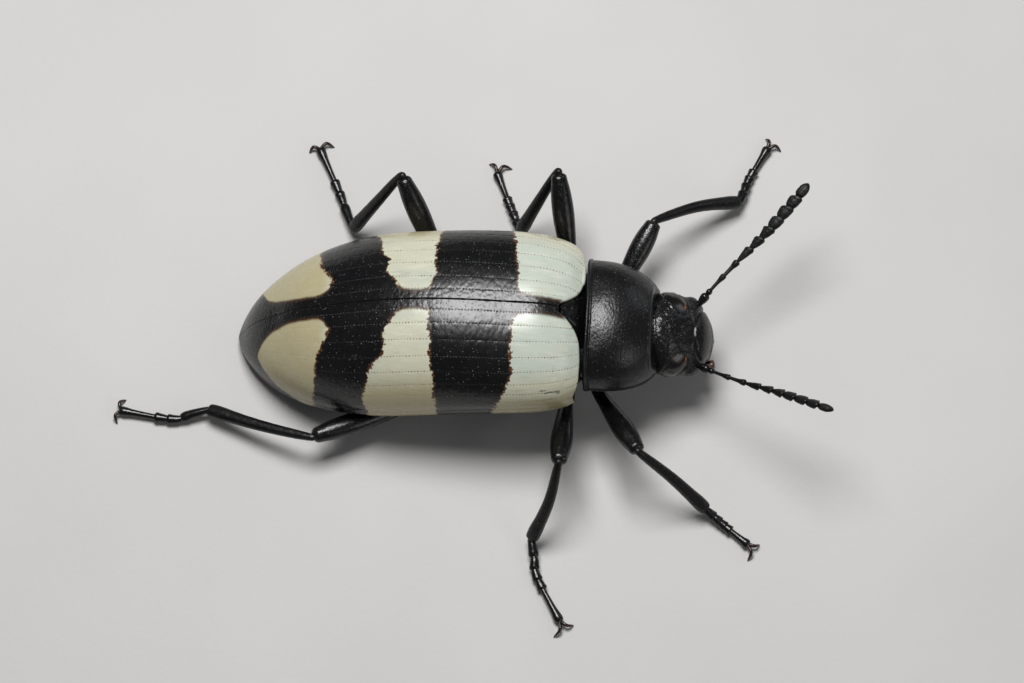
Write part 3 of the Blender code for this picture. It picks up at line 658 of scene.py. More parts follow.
def black_cuticle(name, roughness, grain, pits, dust_and_glints, gloss):
    nodes = Nodes(name)
    normal = nodes.bump(nodes.noise(grain[0], 3), grain[1])
    normal = nodes.bump(nodes.step(nodes.cells(pits[0]), 0.1, 0.3), pits[1], normal)
    dark, light = (0.003, 0.003, 0.0033), (0.0051, 0.0051, 0.00561)
    colour = nodes.mix(nodes.cloud(0.9, 3, 0.35, 0.7), dark, light)
    # Pale specks: painted glints off the pits, partly real dust
    colour = nodes.mix(nodes.glint_and_dust_specks(0.12, dust_and_glints), colour, (0.45, 0.45, 0.44))
    rough = nodes.spread(nodes.noise(0.3, 4), roughness - 0.08, roughness + 0.1)
    nodes.set(Base_Color=colour, Roughness=rough, Normal=normal, Specular_IOR_Level=gloss)
    return nodes.material


def wing_case_material():
    nodes = Nodes("wing_case")
    math, mix, step, cloud = nodes.math, nodes.mix, nodes.step, nodes.cloud
    times, scaled = nodes.times, nodes.scaled
    layers = ("cream", "stria", "along", "interval", "warm", "scuff", "jagged")
    cream, stria, along, interval, warm, scuff, jagged = map(nodes.layer, layers)
    # The edge of a band is jagged: lobes a few tenths of a millimetre long with fine teeth on them
    lobes = scaled(nodes.noise(0.28, 1), 0.2, -0.1)
    teeth = scaled(nodes.noise(0.085, 1), 0.22, -0.11)
    edge = scaled(math("ADD", lobes, teeth), scaled(jagged, 0.88, 0.12), cream)
    # Distance from the middle of the nearest pit of a stria
    row = math("FLOOR", math("ADD", stria, 0.5))
    across = times(math("SUBTRACT", stria, row), interval)
    shifted = math("ADD", scaled(row, PIT_SHIFT, along), 0.5)
    pit_number = nodes.add("CombineXYZ", {0: row, 1: math("FLOOR", shifted)})
    chance = nodes.add("TexWhiteNoise", {"Vector": pit_number}, "Value", noise_dimensions="3D")
    lengthways = times(math("SUBTRACT", math("FRACT", shifted), 0.5), PIT_SPACING)
    distance = math("SQRT", math("ADD", math("POWER", across, 2), math("POWER", lengthways, 2)))
    inside = times(step(stria, 0.5, 0.6), step(stria, 9.5, 9.4))
    size = scaled(chance, 0.01, 0.012)
    pit = times(step(math("SUBTRACT", distance, size), 0.01, -0.004), inside)
    # Ivory, warmer towards the sides and the tip, with clouds, streaks, specks and dark dots on it
    ivory = mix(step(warm, 0.0, 0.5), (0.53, 0.58, 0.5), (0.595, 0.585, 0.445))
    ivory = mix(step(warm, 0.45, 1.0), ivory, (0.45, 0.4, 0.24))
    grey = times(cloud(0.9, 3, 0.4, 0.75, stretch=(0.45, 1, 1)), step(warm, 1.0, 0.3))
    blush = times(cloud(0.8, 3, 0.56, 0.74), step(warm, 0.6, 0.0))
    pale_streak = times(cloud(0.14, 3, 0.48, 0.75, stretch=(0.1, 1, 1)), step(warm, 1.3, 0.3))
    dark_streak = cloud(0.1, 3, 0.55, 0.8, stretch=(0.12, 1, 1))
    speckle = cloud(0.05, 3, 0.55, 0.75, roughness=0.7)
    dots = times(pit, step(warm, 1.0, 0.7))
    for share, strength, colour in (
        (grey, 0.55, (0.44, 0.48, 0.43)), (blush, 0.6, (0.64, 0.5, 0.36)),
        (pale_streak, 0.4, (0.72, 0.71, 0.6)), (dark_streak, 0.4, (0.34, 0.31, 0.2)),
        (speckle, 0.35, (0.36, 0.34, 0.26)),
        (dots, nodes.spread(nodes.noise(0.5, 1), 0.3, 0.85, 0.35, 0.65), (0.16, 0.1, 0.05)),
    ):
        ivory = mix(times(share, strength), ivory, colour)
    # Black with pale specks, which are painted glints and partly dust, and brown where it meets the
    # ivory
    black = mix(cloud(0.8, 3, 0.35, 0.7), (0.0025, 0.0025, 0.0028), (0.005, 0.0048, 0.0048))
    black = mix(nodes.glint_and_dust_specks(0.07, 0.5), black, (0.45, 0.46, 0.47))
    black = mix(nodes.glint_and_dust_specks(0.095, 0.65), black, (0.5, 0.51, 0.52))
    fringe = times(step(edge, -0.065, 0.005), scaled(jagged, 0.6, 0.4))
    brown = mix(fringe, black, (0.1, 0.042, 0.018))
    # A smooth edge is blurred, and a jagged one is sharp
    blur = scaled(jagged, -0.05, 0.09)
    colour = mix(step(math("DIVIDE", edge, blur), 0.0, 1.0), brown, ivory)
    grit = nodes.noise(0.06, 3, roughness=0.7)
    worn = scaled(math("SUBTRACT", grit, 0.5), 1.6, scuff)
    colour = mix(times(step(worn, 0.42, 0.6), 0.75), colour, (0.06, 0.055, 0.045))
    colour = mix(times(step(worn, 0.75, 0.95), 0.7), colour, (0.3, 0.33, 0.34))
    # Relief
    normal = nodes.bump(nodes.noise(0.035, 2), 0.0007)
    normal = nodes.bump(step(nodes.cells(0.09), 0.06, 0.2), 0.003, normal)
    normal = nodes.bump(math("SUBTRACT", 1.0, pit), 0.004, normal)
    rough = nodes.spread(nodes.noise(0.3, 4), 0.2, 0.32)
    nodes.set(Base_Color=colour, Roughness=rough, Normal=normal, Specular_IOR_Level=GLOSS)
    nodes.set(Subsurface_Weight=0.1, Subsurface_Radius=(0.25, 0.2, 0.12), Subsurface_Scale=MM)
    return nodes.material


def eye_material():
    nodes = Nodes("eye")
    normal = nodes.bump(nodes.math("SUBTRACT", 1.0, nodes.cells(0.035, randomness=0.25)), 0.002)
    colour = nodes.mix(nodes.cloud(0.3, 2, 0.45, 0.75), (0.003, 0.002, 0.002), (0.016, 0.007, 0.004))
    # Orange where a glint is painted on the eye's front edge
    colour = nodes.mix(nodes.step(nodes.layer("painted_glint"), 0.3, 1.1), colour, (0.4, 0.12, 0.02))
    nodes.set(Base_Color=colour, Roughness=0.2, Normal=normal, Coat_Weight=0.4, Coat_Roughness=0.1)
    return nodes.material


def horn_material(name, dark, light, roughness):
    # Claws, spurs, palps and hairs: translucent brown horn
    nodes = Nodes(name)
    normal = nodes.bump(nodes.noise(0.03, 2), 0.004)
    colour = nodes.mix(nodes.cloud(0.18, 3, 0.35, 0.7), dark, light)
    nodes.set(Base_Color=colour, Roughness=roughness, Normal=normal)
    nodes.set(Subsurface_Weight=0.1, Subsurface_Radius=(0.1, 0.05, 0.02), Subsurface_Scale=MM)
    return nodes.material


def floor_material():
    nodes = Nodes("floor")
    colour = nodes.mix(nodes.cloud(9.0, 4, 0.2, 0.8), (0.57, 0.56, 0.545), (0.61, 0.6, 0.585))
    nodes.set(Base_Color=colour, Roughness=0.75, Normal=nodes.bump(nodes.noise(0.25, 5), 0.01))
    return nodes.material


MATERIALS = {name: black_cuticle(f"{name}_cuticle", *looks) for name, looks in CUTICLES.items()}
MATERIALS.update(
    wing_case=wing_case_material(),
    eye=eye_material(),
    horn=horn_material("claw_horn", (0.008, 0.006, 0.005), (0.04, 0.016, 0.008), 0.22),
    palp=horn_material("palp_horn", (0.03, 0.012, 0.006), (0.14, 0.055, 0.02), 0.3),
    hair=horn_material("sole_hair", (0.12, 0.06, 0.025), (0.3, 0.17, 0.08), 0.5),
)


def outline(x):
    shares = []
    for distance, length, (power, root) in (
        (WIDEST_X - x, REAR_LENGTH, REAR_CURVE), (x - WIDEST_X, FRONT_LENGTH, FRONT_CURVE),
    ):
        shares.append(unit(1 - (np.clip(distance, 0, None) / length) ** power) ** root)
    return HALF_WIDTH * np.where(x < WIDEST_X, *shares)


def depth_below(x):
    return BELLY_DEPTH * unit(1 - (np.clip(WIDEST_X - x, 0, None) / REAR_LENGTH) ** BELLY_CURVE)


def height_above(x):
    return np.clip(curve_value(SUTURE_LINE, x) - curve_value(WIDEST_LINE, x), 0, None)


def section_point(angle, half, height, depth):
    # The angle runs from 0 on top over 90 degrees at the side to 180 below
    across, along = (signed_power(wave, 2 / ROUNDNESS) for wave in (np.sin(angle), np.cos(angle)))
    return half * across, np.where(along >= 0, height, depth) * along


def wing_case_surface(x, angle):
    y, z = section_point(angle, outline(x), height_above(x), depth_below(x))
    return np.stack([x, y, curve_value(WIDEST_LINE, x) + z], -1)


def wing_case_columns():
    # Angles from the seam to the fold, close together at the striae, and their distance from the seam
    fine = np.radians(np.linspace(0, FOLD_ANGLE, 800))
    walked = walked_along(wing_case_surface(np.zeros(800), fine))
    striae = np.interp(np.radians(STRIA_ANGLES), fine, walked)
    steps = [0, 0.005, 0.012, 0.022, 0.036, 0.055, 0.08]
    for spot in (*striae, walked[-1] + 0.03):
        steps += list(np.linspace(steps[-1], spot - 0.03, 8)[1:])
        steps += [spot - 0.015, spot, spot + 0.015, spot + 0.03]
    steps = np.array([d for d in steps if d < walked[-1]] + [walked[-1]])
    return np.interp(steps, walked, fine), steps


def wing_case_rows():
    # Places along the body that are equally far apart over the disc of the wing case
    fine = WIDEST_X - REAR_LENGTH * np.sin(np.linspace(pi / 2 - 0.03, 0, 900))
    fine = np.concatenate([fine[:-1], np.linspace(WIDEST_X, BASE_X, 900)])
    walked = walked_along(wing_case_surface(fine, np.full(fine.shape, radians(STRIA_ANGLES[3]))))
    return np.interp(np.arange(0, walked[-1] + ROW_STEP, ROW_STEP), walked, fine)


def cream_distance(x, angle, side, scale):
    # How far inside the nearest cream patch a point is, in millimetres, negative outside, and how
    # jagged the nearest edge is: the edges across the body are, and those along it are smooth
    best = np.full(x.shape, -9.0)
    jagged = np.zeros(x.shape)
    degrees = np.degrees(angle)
    for rear, front, inner, outer in PATCHES[side]:
        parts = (
            x - curve_value(rear, degrees),
            curve_value(front, degrees) - x,
            (degrees - curve_value(inner, x)) * scale,
            (curve_value(outer, x) - degrees) * scale,
        )
        weights = [np.exp(-np.clip(p, -3, 3) / CORNER_ROUNDING) for p in parts]
        inside = -CORNER_ROUNDING * np.log(sum(weights))
        jagged = np.where(inside > best, (weights[0] + weights[1]) / sum(weights), jagged)
        best = np.maximum(best, inside)
    return best, jagged


def wing_case_layers(side, points, angle, degrees, end):
    # The numbers on the surface that the material draws bands, striae and tints from
    x = points[..., 0]
    stria = np.interp(degrees, (0, *STRIA_ANGLES, 90, 101), (*range(11), 12)) * np.ones_like(x)
    walked = walked_along(points)
    interval = unit(np.gradient(walked, axis=1) / np.gradient(stria, axis=1))
    along = np.arange(len(x))[:, None] / ROWS_PER_PIT * np.ones_like(x)
    cream, jagged = cream_distance(x, angle, side, walked[:, -1:] / FOLD_ANGLE)
    rim = RIM_START + (end - BASE_CURL)[None, :] - x
    jagged = jagged * unit((rim - cream) / 0.15)
    tail, middle = unit((TAIL_X - x) / 1.2), unit((2.0 - x) / 1.5) * 0.4
    warm = unit(unit((degrees - 40) / 45) + np.maximum(tail, middle))
    scuff = np.zeros_like(x)
    for wanted, at, turn, length, width in SCUFFS:
        if wanted == side:
            scuff = scuff + bell(x, at, length) * bell(degrees, turn, width)
    return {
        "cream": np.minimum(cream, rim), "stria": stria, "along": along, "interval": interval,
        "warm": warm, "scuff": scuff, "jagged": jagged,
    }


def wing_case_relief(points, degrees, arc, layers):
    # Impressed striae with pits, a sunk seam, a bead along the side and fine grain
    x, stria = points[..., 0], layers["stria"]
    row = np.floor(stria + 0.5)
    across = np.abs(stria - row) * layers["interval"]
    lengthways = (np.mod(layers["along"] + row * PIT_SHIFT + 0.5, 1) - 0.5) * PIT_SPACING
    pits = 0.0006 * bell(across, 0, 0.04) + 0.006 * bell(across, 0, 0.014) * bell(lengthways, 0, 0.016)
    fade = unit(1.2 - unit((TAIL_X - x) / 1.2))
    rise = -0.005 - np.where((row > 0) & (row < 10), pits, 0) * fade
    rise = rise - 0.01 * bell(arc, 0, 0.012)[None, :]
    bead = 0.03 * bell(degrees, 92, 2.2) - 0.02 * bell(degrees, 87, 2.5)
    rise = rise + bead * unit((3.7 - x) / 0.6)
    rise = rise - 0.012 * unit(layers["scuff"]) * unit(ripple(points, 0.06, 7) * 3)
    black = layers["cream"] < 0
    rise = rise + (0.0035 * ripple(points, 0.07, 3) + 0.0012 * ripple(points, 0.04, 4)) * black
    rise = rise - 0.007 * bell(pit_distance(points, 0.115, 11), 0, 0.019) * black
    rise = rise + 0.0012 * ripple(points * np.array([0.12, 1, 1]), 0.12, 9)
    return rise * unit((x - x.min()) / 0.5)


def build_wing_case(side, name):
    angles, arc = wing_case_columns()
    x = wing_case_rows()[:, None] * np.ones(len(angles))
    degrees = np.degrees(angles)[None, :]
    # The base is rounded at both corners: a few rounds bring each column's end onto its edge line
    end = np.full(len(angles), BASE_X)
    for _ in range(24):
        across = wing_case_surface(end, np.minimum(angles, pi / 2))[:, 1]
        end = 0.7 * end + 0.3 * curve_value(BASE_EDGES[side], across)
    share = unit((x - BASE_BEND_X) / (BASE_X - BASE_BEND_X))
    x = x - (BASE_X - end + BASE_CURL)[None, :] * share**2
    # The inner edge keeps just clear of the seam
    first = np.arcsin(unit(SEAM / np.clip(outline(x[:, 0]), 0.02, None))) ** (ROUNDNESS / 2)
    angle = angles[None, :] + first[:, None] * unit(1 - degrees / 30) ** 2
    points = wing_case_surface(x, angle)
    normal = grid_normals(points)
    layers = wing_case_layers(side, points, angle, degrees, end)
    points = points + normal * wing_case_relief(points, degrees, arc, layers)[..., None]
    # The base curls down in front, tighter round the outer corner
    edge, outward = points[-1], normal[-1]
    ahead = direction(np.cross(np.gradient(edge, axis=0), outward))
    curl = BASE_CURL * (1 - 0.65 * unit((degrees.ravel() - 45) / 35))[:, None]
    turns = np.linspace(0, pi / 2, 10)[1:]
    curls = [edge + ahead * curl * sin(turn) - outward * curl * (1 - cos(turn)) for turn in turns]
    curls.append(curls[-1] - outward * 3 * curl)
    full = mirrored(np.concatenate([points, np.array(curls)]), side)
    limits = {"cream": np.array([*(RIM_START - BASE_CURL * turns), -0.3])[:, None], "jagged": 0}
    for layer, values in layers.items():
        more = np.repeat(values[-1:], len(curls), axis=0)
        layers[layer] = np.concatenate([values, np.minimum(more, limits.get(layer, np.inf))])
    shape = Shape(body_to_beetle(full), closed=False, flip=side < 0, **layers)
    # The wall of the seam, and the epipleuron folded in under the side
    plain = {**dict.fromkeys(layers, 0.0), "interval": 0.4, "warm": 0.5, "cream": -1.0}
    wall = full[:, :1] - np.array([(0, 0, depth) for depth in (0, 0.1, 0.2)])
    shape.add(body_to_beetle(wall), closed=False, flip=side > 0, **plain)
    last = full[:, -1:]
    toward = np.minimum(np.clip(np.abs(last[..., 1]) - 0.02, 0, None), np.array(FOLD_STEPS))
    folded = last + toward[..., None] * np.array([0, -side, 0.12])
    shape.add(body_to_beetle(folded), closed=False, flip=side < 0, **plain)
    shape.build(f"wing_case_{name}", ["wing_case"], "wing_cases", f"elytron_{name}")


def build_scutellum():
    x = np.linspace(SCUTELLUM_TIP_X, BASE_X + 0.2, 60)[:, None] * np.ones(71)[None, :]
    share = np.linspace(-1, 1, 71)[None, :]
    forward = unit((x - SCUTELLUM_TIP_X) / (BASE_X - SCUTELLUM_TIP_X))
    shield = 0.03 + 0.46 * forward**0.8
    y = (0.06 + 0.85 * forward**0.7) * share
    z = curve_value(SUTURE_LINE, x) - 0.13 - 0.12 * forward**2 - 0.1 * y**2
    z = z - 0.5 * unit((x - 4.45) / 0.25) ** 1.5
    z = z + 0.06 / (1 + np.exp((np.abs(y) - shield) / 0.02))
    z = z - 0.04 * bell(x, 4.2, 0.12) * bell(y, 0, 0.14)
    grid = relief(np.stack([x, y, z], -1), "scutellum", closed=False)
    shape = Shape(body_to_beetle(grid), closed=False)
    shape.build("scutellum_plate", ["head"], "black_cuticle", "scutellum")


def build_core():
    # The underside: metasternum and ventrites, each plate lapping over the next
    for name, node, front, back, plates in CORE_PARTS:
        x = np.linspace(front, back, 260)[:, None] * np.ones(220)[None, :]
        angle = np.linspace(0, tau, 220, endpoint=False)[None, :]
        behind = x < WIDEST_X
        rear_x = WIDEST_X - (WIDEST_X - x) * REAR_LENGTH / (REAR_LENGTH - CORE_INSET)
        outer_x = np.where(behind, rear_x, x)
        share = 1 - CORE_INSET / HALF_WIDTH
        half = np.where(behind, outline(outer_x) * share, outline(x) - CORE_INSET)
        height = np.where(behind, height_above(outer_x) * 0.72, height_above(x) - CORE_INSET)
        depth = np.where(behind, depth_below(outer_x) * 0.75, depth_below(x) - 0.47)
        lift = np.ones_like(x)
        for end in plates:
            lift = lift - 0.05 * unit((end - x) / 0.03) + 0.05 * unit((end - x) / 0.9)
        thorax = node == "pterothorax"
        if thorax:
            lift = lift - 0.07 * bell(x, 3.35, 0.05) - 0.04 * bell(x, 0.75, 0.04)
        y, z = section_point(angle, half * lift, height, depth * lift)
        if thorax:
            z = z + 0.05 * bell(y, 0, 0.04) * (np.cos(angle) < 0) * unit((3.2 - x) / 0.5)
        points = relief(np.stack([x, y, curve_value(WIDEST_LINE, x) + z], -1), "core")
        ends_in = np.array([1, 0.02, 1])
        points = np.concatenate([points[:1] * ends_in, points, points[-1:] * ends_in])
        shape = Shape(body_to_beetle(points), flip=True)
        if thorax:
            # The collar that the prothorax turns on
            collar = np.linspace(4.3, 4.9, 30)[:, None]
            y, z = section_point(angle, 1.6 + 0 * collar, 0.6, 1.02)
            points = np.stack([collar + 0 * y, y, curve_value(MARGIN_LINE, collar) + z], -1)
            shape.add(body_to_beetle(points))
        shape.build(name, ["sternum"], "black_cuticle", node)


def ring_angles(top, below):
    # Angles round a section, closer together on top than below
    upper = np.linspace(-110, 110, top)
    return np.radians(np.concatenate([upper, np.linspace(110, 250, below + 2)[1:-1]]))[None, :]


def closed_off(points):
    # Adds rings that close both ends of a tube of rings
    caps = []
    for ring in (points[:1], points[-1:]):
        middle = ring.mean(axis=1, keepdims=True)
        caps.append([middle + (ring - middle) * share for share in (0.85, 0.02)])
    return np.concatenate([*caps[0][::-1], points, *caps[1]])


def build_prothorax():
    angle = ring_angles(360, 90)
    degrees = np.degrees(angle) % 360
    share = (0.7 * np.linspace(0, 1, 150) + 0.3 * eased(150))[:, None]
    lateral = np.minimum(np.abs(degrees - 90), np.abs(degrees - 270))
    # The front margin is drawn forward at the two front angles
    forward = 0.1 * bell(lateral, 0, 14)
    x = PROTHORAX_BACK_X + (PROTHORAX_FRONT_X - PROTHORAX_BACK_X + forward) * share
    x = x - HIND_ANGLE_REACH * np.sin(angle) ** 2 * (1 - share)
    power, root = PROTHORAX_CURVE
    half = PROTHORAX_HALF_WIDTH * unit(1 - ((x - BASE_X) / PROTHORAX_TAPER) ** power) ** root
    height, depth = curve_value(PRONOTUM_HEIGHT, x), curve_value(STERNUM_DEPTH, x)
    # Beads and grooves along the base and the front, and rounded ends
    from_back, from_front = x - x[:1], x[-1:] - x
    rise = 0.035 * bell(from_back, 0.06, 0.04) - 0.026 * bell(from_back, 0.135, 0.028)
    rise = rise + 0.005 * bell(from_front, 0.04, 0.025) - 0.007 * bell(from_front, 0.09, 0.022)
    rise = rise - 0.05 * (1 - rounded(from_back, 0.05) * rounded(from_front, 0.05))
    y, z = section_point(angle, half + rise, height + rise, depth + rise)
    y = y + np.sign(np.sin(angle)) * RIM * bell(lateral, 0, 1.5)
    top = np.cos(angle) > 0
    dimples = 0.018 * bell(x, 4.95, 0.16) * bell(np.abs(y), 0.8, 0.28)
    # The prosternum has a keel between the front coxae
    keel = 0.12 * bell(x, 5.2, 0.5) * bell(y, 0, 0.16)
    keel = keel - 0.12 * bell(x, 5.05, 0.3) * (bell(y, 0.7, 0.3) + bell(y, -0.7, 0.3))
    z = z - dimples * top - keel * ~top
    points = np.stack([x, y, curve_value(MARGIN_LINE, x) + z], -1)
    # The beads at the base and the sides are smoother than the disc
    plain = unit(1.1 - bell(from_back, 0.05, 0.06) - bell(lateral, 0, 3))
    fine = ripple(points * np.array([1, 0.6, 1]), 0.045, 21)
    points = points + grid_normals(points, True) * (0.003 * fine * plain)[..., None]
    shape = Shape(body_to_beetle(closed_off(relief(points, "prothorax", keep=plain))))
    shape.build("pronotum_and_sternum", ["pronotum"], "black_cuticle", "prothorax")


def head_surface(x, angle):
    y, z = section_point(angle, *column_values(HEAD_STATIONS, x, 1, 2, 3))
    return np.stack([x + 0 * y, y, z], -1)


def eye_outline(count):
    corners = len(EYE_OUTLINE)
    turn = np.linspace(0, corners, count, endpoint=False)
    loop = [(k - 2, *EYE_OUTLINE[(k - 2) % corners]) for k in range(corners + 5)]
    return column_values(loop, turn, 1, 2)


def build_head():
    angle = ring_angles(230, 80)
    points = head_surface(np.linspace(-0.4, 1.72, 180)[:, None], angle)
    x, y = points[..., 0], points[..., 1]
    top = np.cos(angle) > -0.2
    gap = np.full(x.shape, 9.0)
    rim_x, rim_angle = eye_outline(90)
    for side, (back, turn) in EYE_SHIFTS.items():
        for spot in mirrored(head_surface(rim_x + back, np.radians(rim_angle + turn)), side):
            gap = np.minimum(gap, np.linalg.norm(points - spot, axis=-1))
    # The smooth dome of the clypeus, in front of a curved groove
    dome = np.sqrt(((x - 1.6) / 0.62) ** 2 + (y / 0.8) ** 2)
    rise = top * (0.05 * unit(1 - dome**2) - 0.045 * bell(dome, 1.03, 0.05))
    # A groove and fine folds run round each eye
    rise = rise - 0.014 * bell(gap, 0, 0.03) + 0.004 * bell(gap, 0.07, 0.04)
    rise = rise + 0.002 * np.sin(gap * tau / 0.065) * np.exp(-gap / 0.2) * (gap > 0.05)
    # A dent in the forehead, and two behind the ends of the clypeus
    dents = bell(x, 0.48, 0.13) * bell(y, 0, 0.16) + bell(x, 1.0, 0.1) * bell(np.abs(y), 0.42, 0.12)
    rise = rise - 0.045 * top * dents
    # The side margin stands out over the root of the feeler
    rise = rise + 0.11 * bell(x, 1.14, 0.26) * bell(np.abs(np.degrees(angle)), 74, 17)
    rough = 1 - 0.55 * (dome < 1)
    rise = rise + 0.008 * rough * (ripple(points, 0.085, 31) + 0.5 * ripple(points, 0.04, 32))
    rise = rise + 0.006 * rough * ripple(points, 0.2, 34)
    rise = rise - 0.01 * rough * bell(pit_distance(points, 0.085, 33), 0, 0.018)
    points = points + grid_normals(points, True) * rise[..., None]
    Shape(head_to_beetle(closed_off(points))).build("head", ["head"], "black_cuticle", "head_capsule")


def build_eye(side, name):
    # A lens that bulges from the head inside its outline, and a sunk back
    rim_x, rim_angle = eye_outline(140)
    reach = np.sin(np.linspace(pi / 2, 0.02, EYE_RINGS))
    reach = np.concatenate([reach[::-1], reach[1:]])[:, None]
    x = EYE_MIDDLE[0] + reach * (rim_x - EYE_MIDDLE[0])
    angle = EYE_MIDDLE[1] + reach * (rim_angle - EYE_MIDDLE[1])
    # A painted orange glint at the front edge, above, where light shines through
    painted_glint = bell(x, EYE_PAINTED_GLINT[0], 0.05) * bell(angle, EYE_PAINTED_GLINT[1], 10)
    x, angle = x + EYE_SHIFTS[side][0], angle + EYE_SHIFTS[side][1]
    points = head_surface(x, np.radians(angle))
    ahead = head_surface(x + 0.01, np.radians(angle)) - points
    across = head_surface(x, np.radians(angle + 1)) - points
    normal = direction(np.cross(ahead, across))
    back = (np.arange(len(reach)) < EYE_RINGS)[:, None]
    lift = np.where(back, -0.05 - 0.05 * (1 - reach), EYE_BULGE * (1 - reach**2) ** 0.5 - 0.02)
    points = mirrored(points + normal * lift[..., None], side)
    shape = Shape(head_to_beetle(points), flip=side > 0, painted_glint=painted_glint)
    shape.build(f"compound_eye_{name}", ["eye"], "eyes", f"eye_{name}")


def build_labrum():
    x = np.linspace(LABRUM_STATIONS[0][0] - 0.05, LABRUM_STATIONS[-1][0], 50)[:, None]
    half, z = column_values(LABRUM_STATIONS, x, 1, 2)
    half = half * np.sqrt(np.clip(1 - unit((x - 1.78) / 0.24) ** 2.4, 0.02, 1))
    angle = np.linspace(0, tau, 90, endpoint=False)
    across, along = (signed_power(wave, 0.8) for wave in (np.sin(angle), np.cos(angle)))
    thick = np.where(np.cos(angle) > 0, 0.12, 0.2)
    y = half * across
    height = z - 0.12 - 0.1 * (y / 0.6) ** 2 + thick * along
    points = relief(np.stack([x + 0 * y, y, height], -1), "labrum")
    end = points[-1:] * np.array([1, 0.1, 1]) + np.array([0.01, 0, 0])
    shape = Shape(head_to_beetle(np.concatenate([points, end])))
    shape.build("upper_lip", ["labrum"], "black_cuticle", "labrum")


def build_mouthparts(side, name):
    route = head_to_beetle(mirrored(MANDIBLE_ROUTE, side))
    shape = Shape(tube_grid(route, MANDIBLE_SHAPE, 50, 32, 0.1, 0.05))
    shape.build(f"jaw_{name}", ["labrum"], "black_cuticle", f"mandible_{name}")
    line, walked = route_points(head_to_beetle(mirrored(PALP_ROUTES[side], side)))
    cuts = np.array(PALP_CUTS) * walked[-1]
    shape = Shape()
    for start, end, width in zip(cuts, cuts[1:], PALP_WIDTHS):
        points = spots_on(line, walked, np.linspace(start, end + 0.02, 4))
        form = ((0, 0.5, 0.5), (0.6, 1, 0.8), (1, 0.95, 0.6))
        rows = [(share, width * wide, width * thick) for share, wide, thick in form]
        shape.add(tube_grid(points, rows, 26, 28, 0.15, 0.12))
    shape.build(f"feeler_palp_{name}", ["palp"], "brown_cuticle", f"palp_{name}")


def build_antenna(side, name):
    socket = head_to_beetle(mirrored(ANTENNA_SOCKET, side))
    line, walked = route_points([socket, *ANTENNA_ROUTES[name]])
    bounds = np.concatenate([[0], np.cumsum(ANTENNA_LENGTHS)])
    bounds = bounds / bounds[-1] * (walked[-1] - 0.03)
    shape = Shape()
    for k, (width, depth) in enumerate(zip(ANTENNA_WIDTHS, ANTENNA_DEPTHS)):
        spots = np.linspace(bounds[k] - 0.03 * (k > 0), bounds[k + 1] + 0.015 * (k < 10), 5)
        points = spots_on(line, walked, spots)
        form = next(shares for last, shares in ANTENNA_FORMS if k <= last)
        rows = [(share, width * wide, depth * wide) for share, wide in form]
        looks = {"roll": ANTENNA_ROLLS[side], "squareness": 2.0 if k < 4 else 2.4}
        grid, shares, angle, ahead = tube(points, rows, 50, 60, 0.03, 0.06, **looks)
        if k > 3:
            # The tip of each segment but the last is cut off aslant, and ribs run along it
            slant = 0.1 * width / 0.18 * unit((shares - 0.6) / 0.4)[:, None] * np.cos(angle - 0.6)
            grid = grid + ahead[:, None, :] * (slant * (k < 10))[..., None]
            ribs = 0.005 * np.cos(16 * angle)[None, :] * np.sin(pi * shares)[:, None]
            grid = relief(grid + grid_normals(grid, True) * ribs[..., None], "antenna")
        shape.add(grid, slot=0 if k < 2 else 1)
    node = f"antenna_{name}"
    shape.build(f"antenna_segments_{name}", ["scape", "antenna"], "dull_black_cuticle", node)


def build_coxa(name, leg):
    polar = np.linspace(0.01, pi - 0.01, 60)[:, None]
    angle = np.linspace(0, tau, 80, endpoint=False)[None, :]
    across = np.sin(polar)
    ball = np.stack([across * np.cos(angle), across * np.sin(angle), np.cos(polar) + 0 * angle], -1)
    coxa, femur = np.array(leg["coxa"]), np.array(leg["femur"])
    shape = Shape(relief(coxa + ball * np.array(COXA_SIZE), "coxa"))
    route = [coxa + (femur - coxa) * share for share in (0.2, 0.6, 1.12)]
    shape.add(tube_grid(route, TROCHANTER_SHAPE, 40, 40, 0.1, 0.15))
    shape.build(f"coxa_{name}", ["femur"], "black_cuticle", f"leg_{name}_coxa")


def build_femur(name, leg):
    grid, shares, angle, ahead = tube((leg["femur"], leg["knee"]), FEMUR_SHAPE, 170, 96, 0.04, 0.05)
    # The knee has a lobe on either side of the shin's joint
    near_knee = unit((shares - 0.9) / 0.1)[:, None] ** 1.5
    sideways = np.sqrt(unit((1 - shares) / 0.05))[:, None] * np.cos(angle)
    grid = grid + ahead[:, None, :] * (near_knee * (0.08 * sideways**2 - 0.03))[..., None]
    Shape(relief(grid, "femur")).build(f"femur_{name}", ["femur"], "black_cuticle", f"leg_{name}_femur")


def build_tibia(name, leg):
    # The shin leaves the knee in the thigh's direction and bends over at once
    femur, knee, ankle = (np.array(leg[k], float) for k in ("femur", "knee", "ankle"))
    thigh, ahead = direction(knee - femur), direction(ankle - knee)
    middle = (knee + ankle) / 2 + np.array(leg["bow"])
    route = (knee - thigh * 0.1, knee + thigh * 0.03 + ahead * 0.1, middle, ankle)
    shape = Shape(relief(tube_grid(route, TIBIA_SHAPE, 150, 64, 0.02, 0.03, squareness=2.3), "tibia"))
    # Two short spurs at the tip
    side = direction(np.cross(ahead, (0, 0, 1)))
    for turn in (-1, 1):
        start = ankle + side * turn * 0.09 - np.array([0, 0, 0.08])
        end = start + ahead * 0.12 - np.array([0, 0, 0.06])
        shape.add(tube_grid((start - ahead * 0.08, end), SPUR_SHAPE, 14, 12), slot=1)
    shape.build(f"tibia_{name}", ["tibia", "horn"], "black_cuticle", f"leg_{name}_tibia")


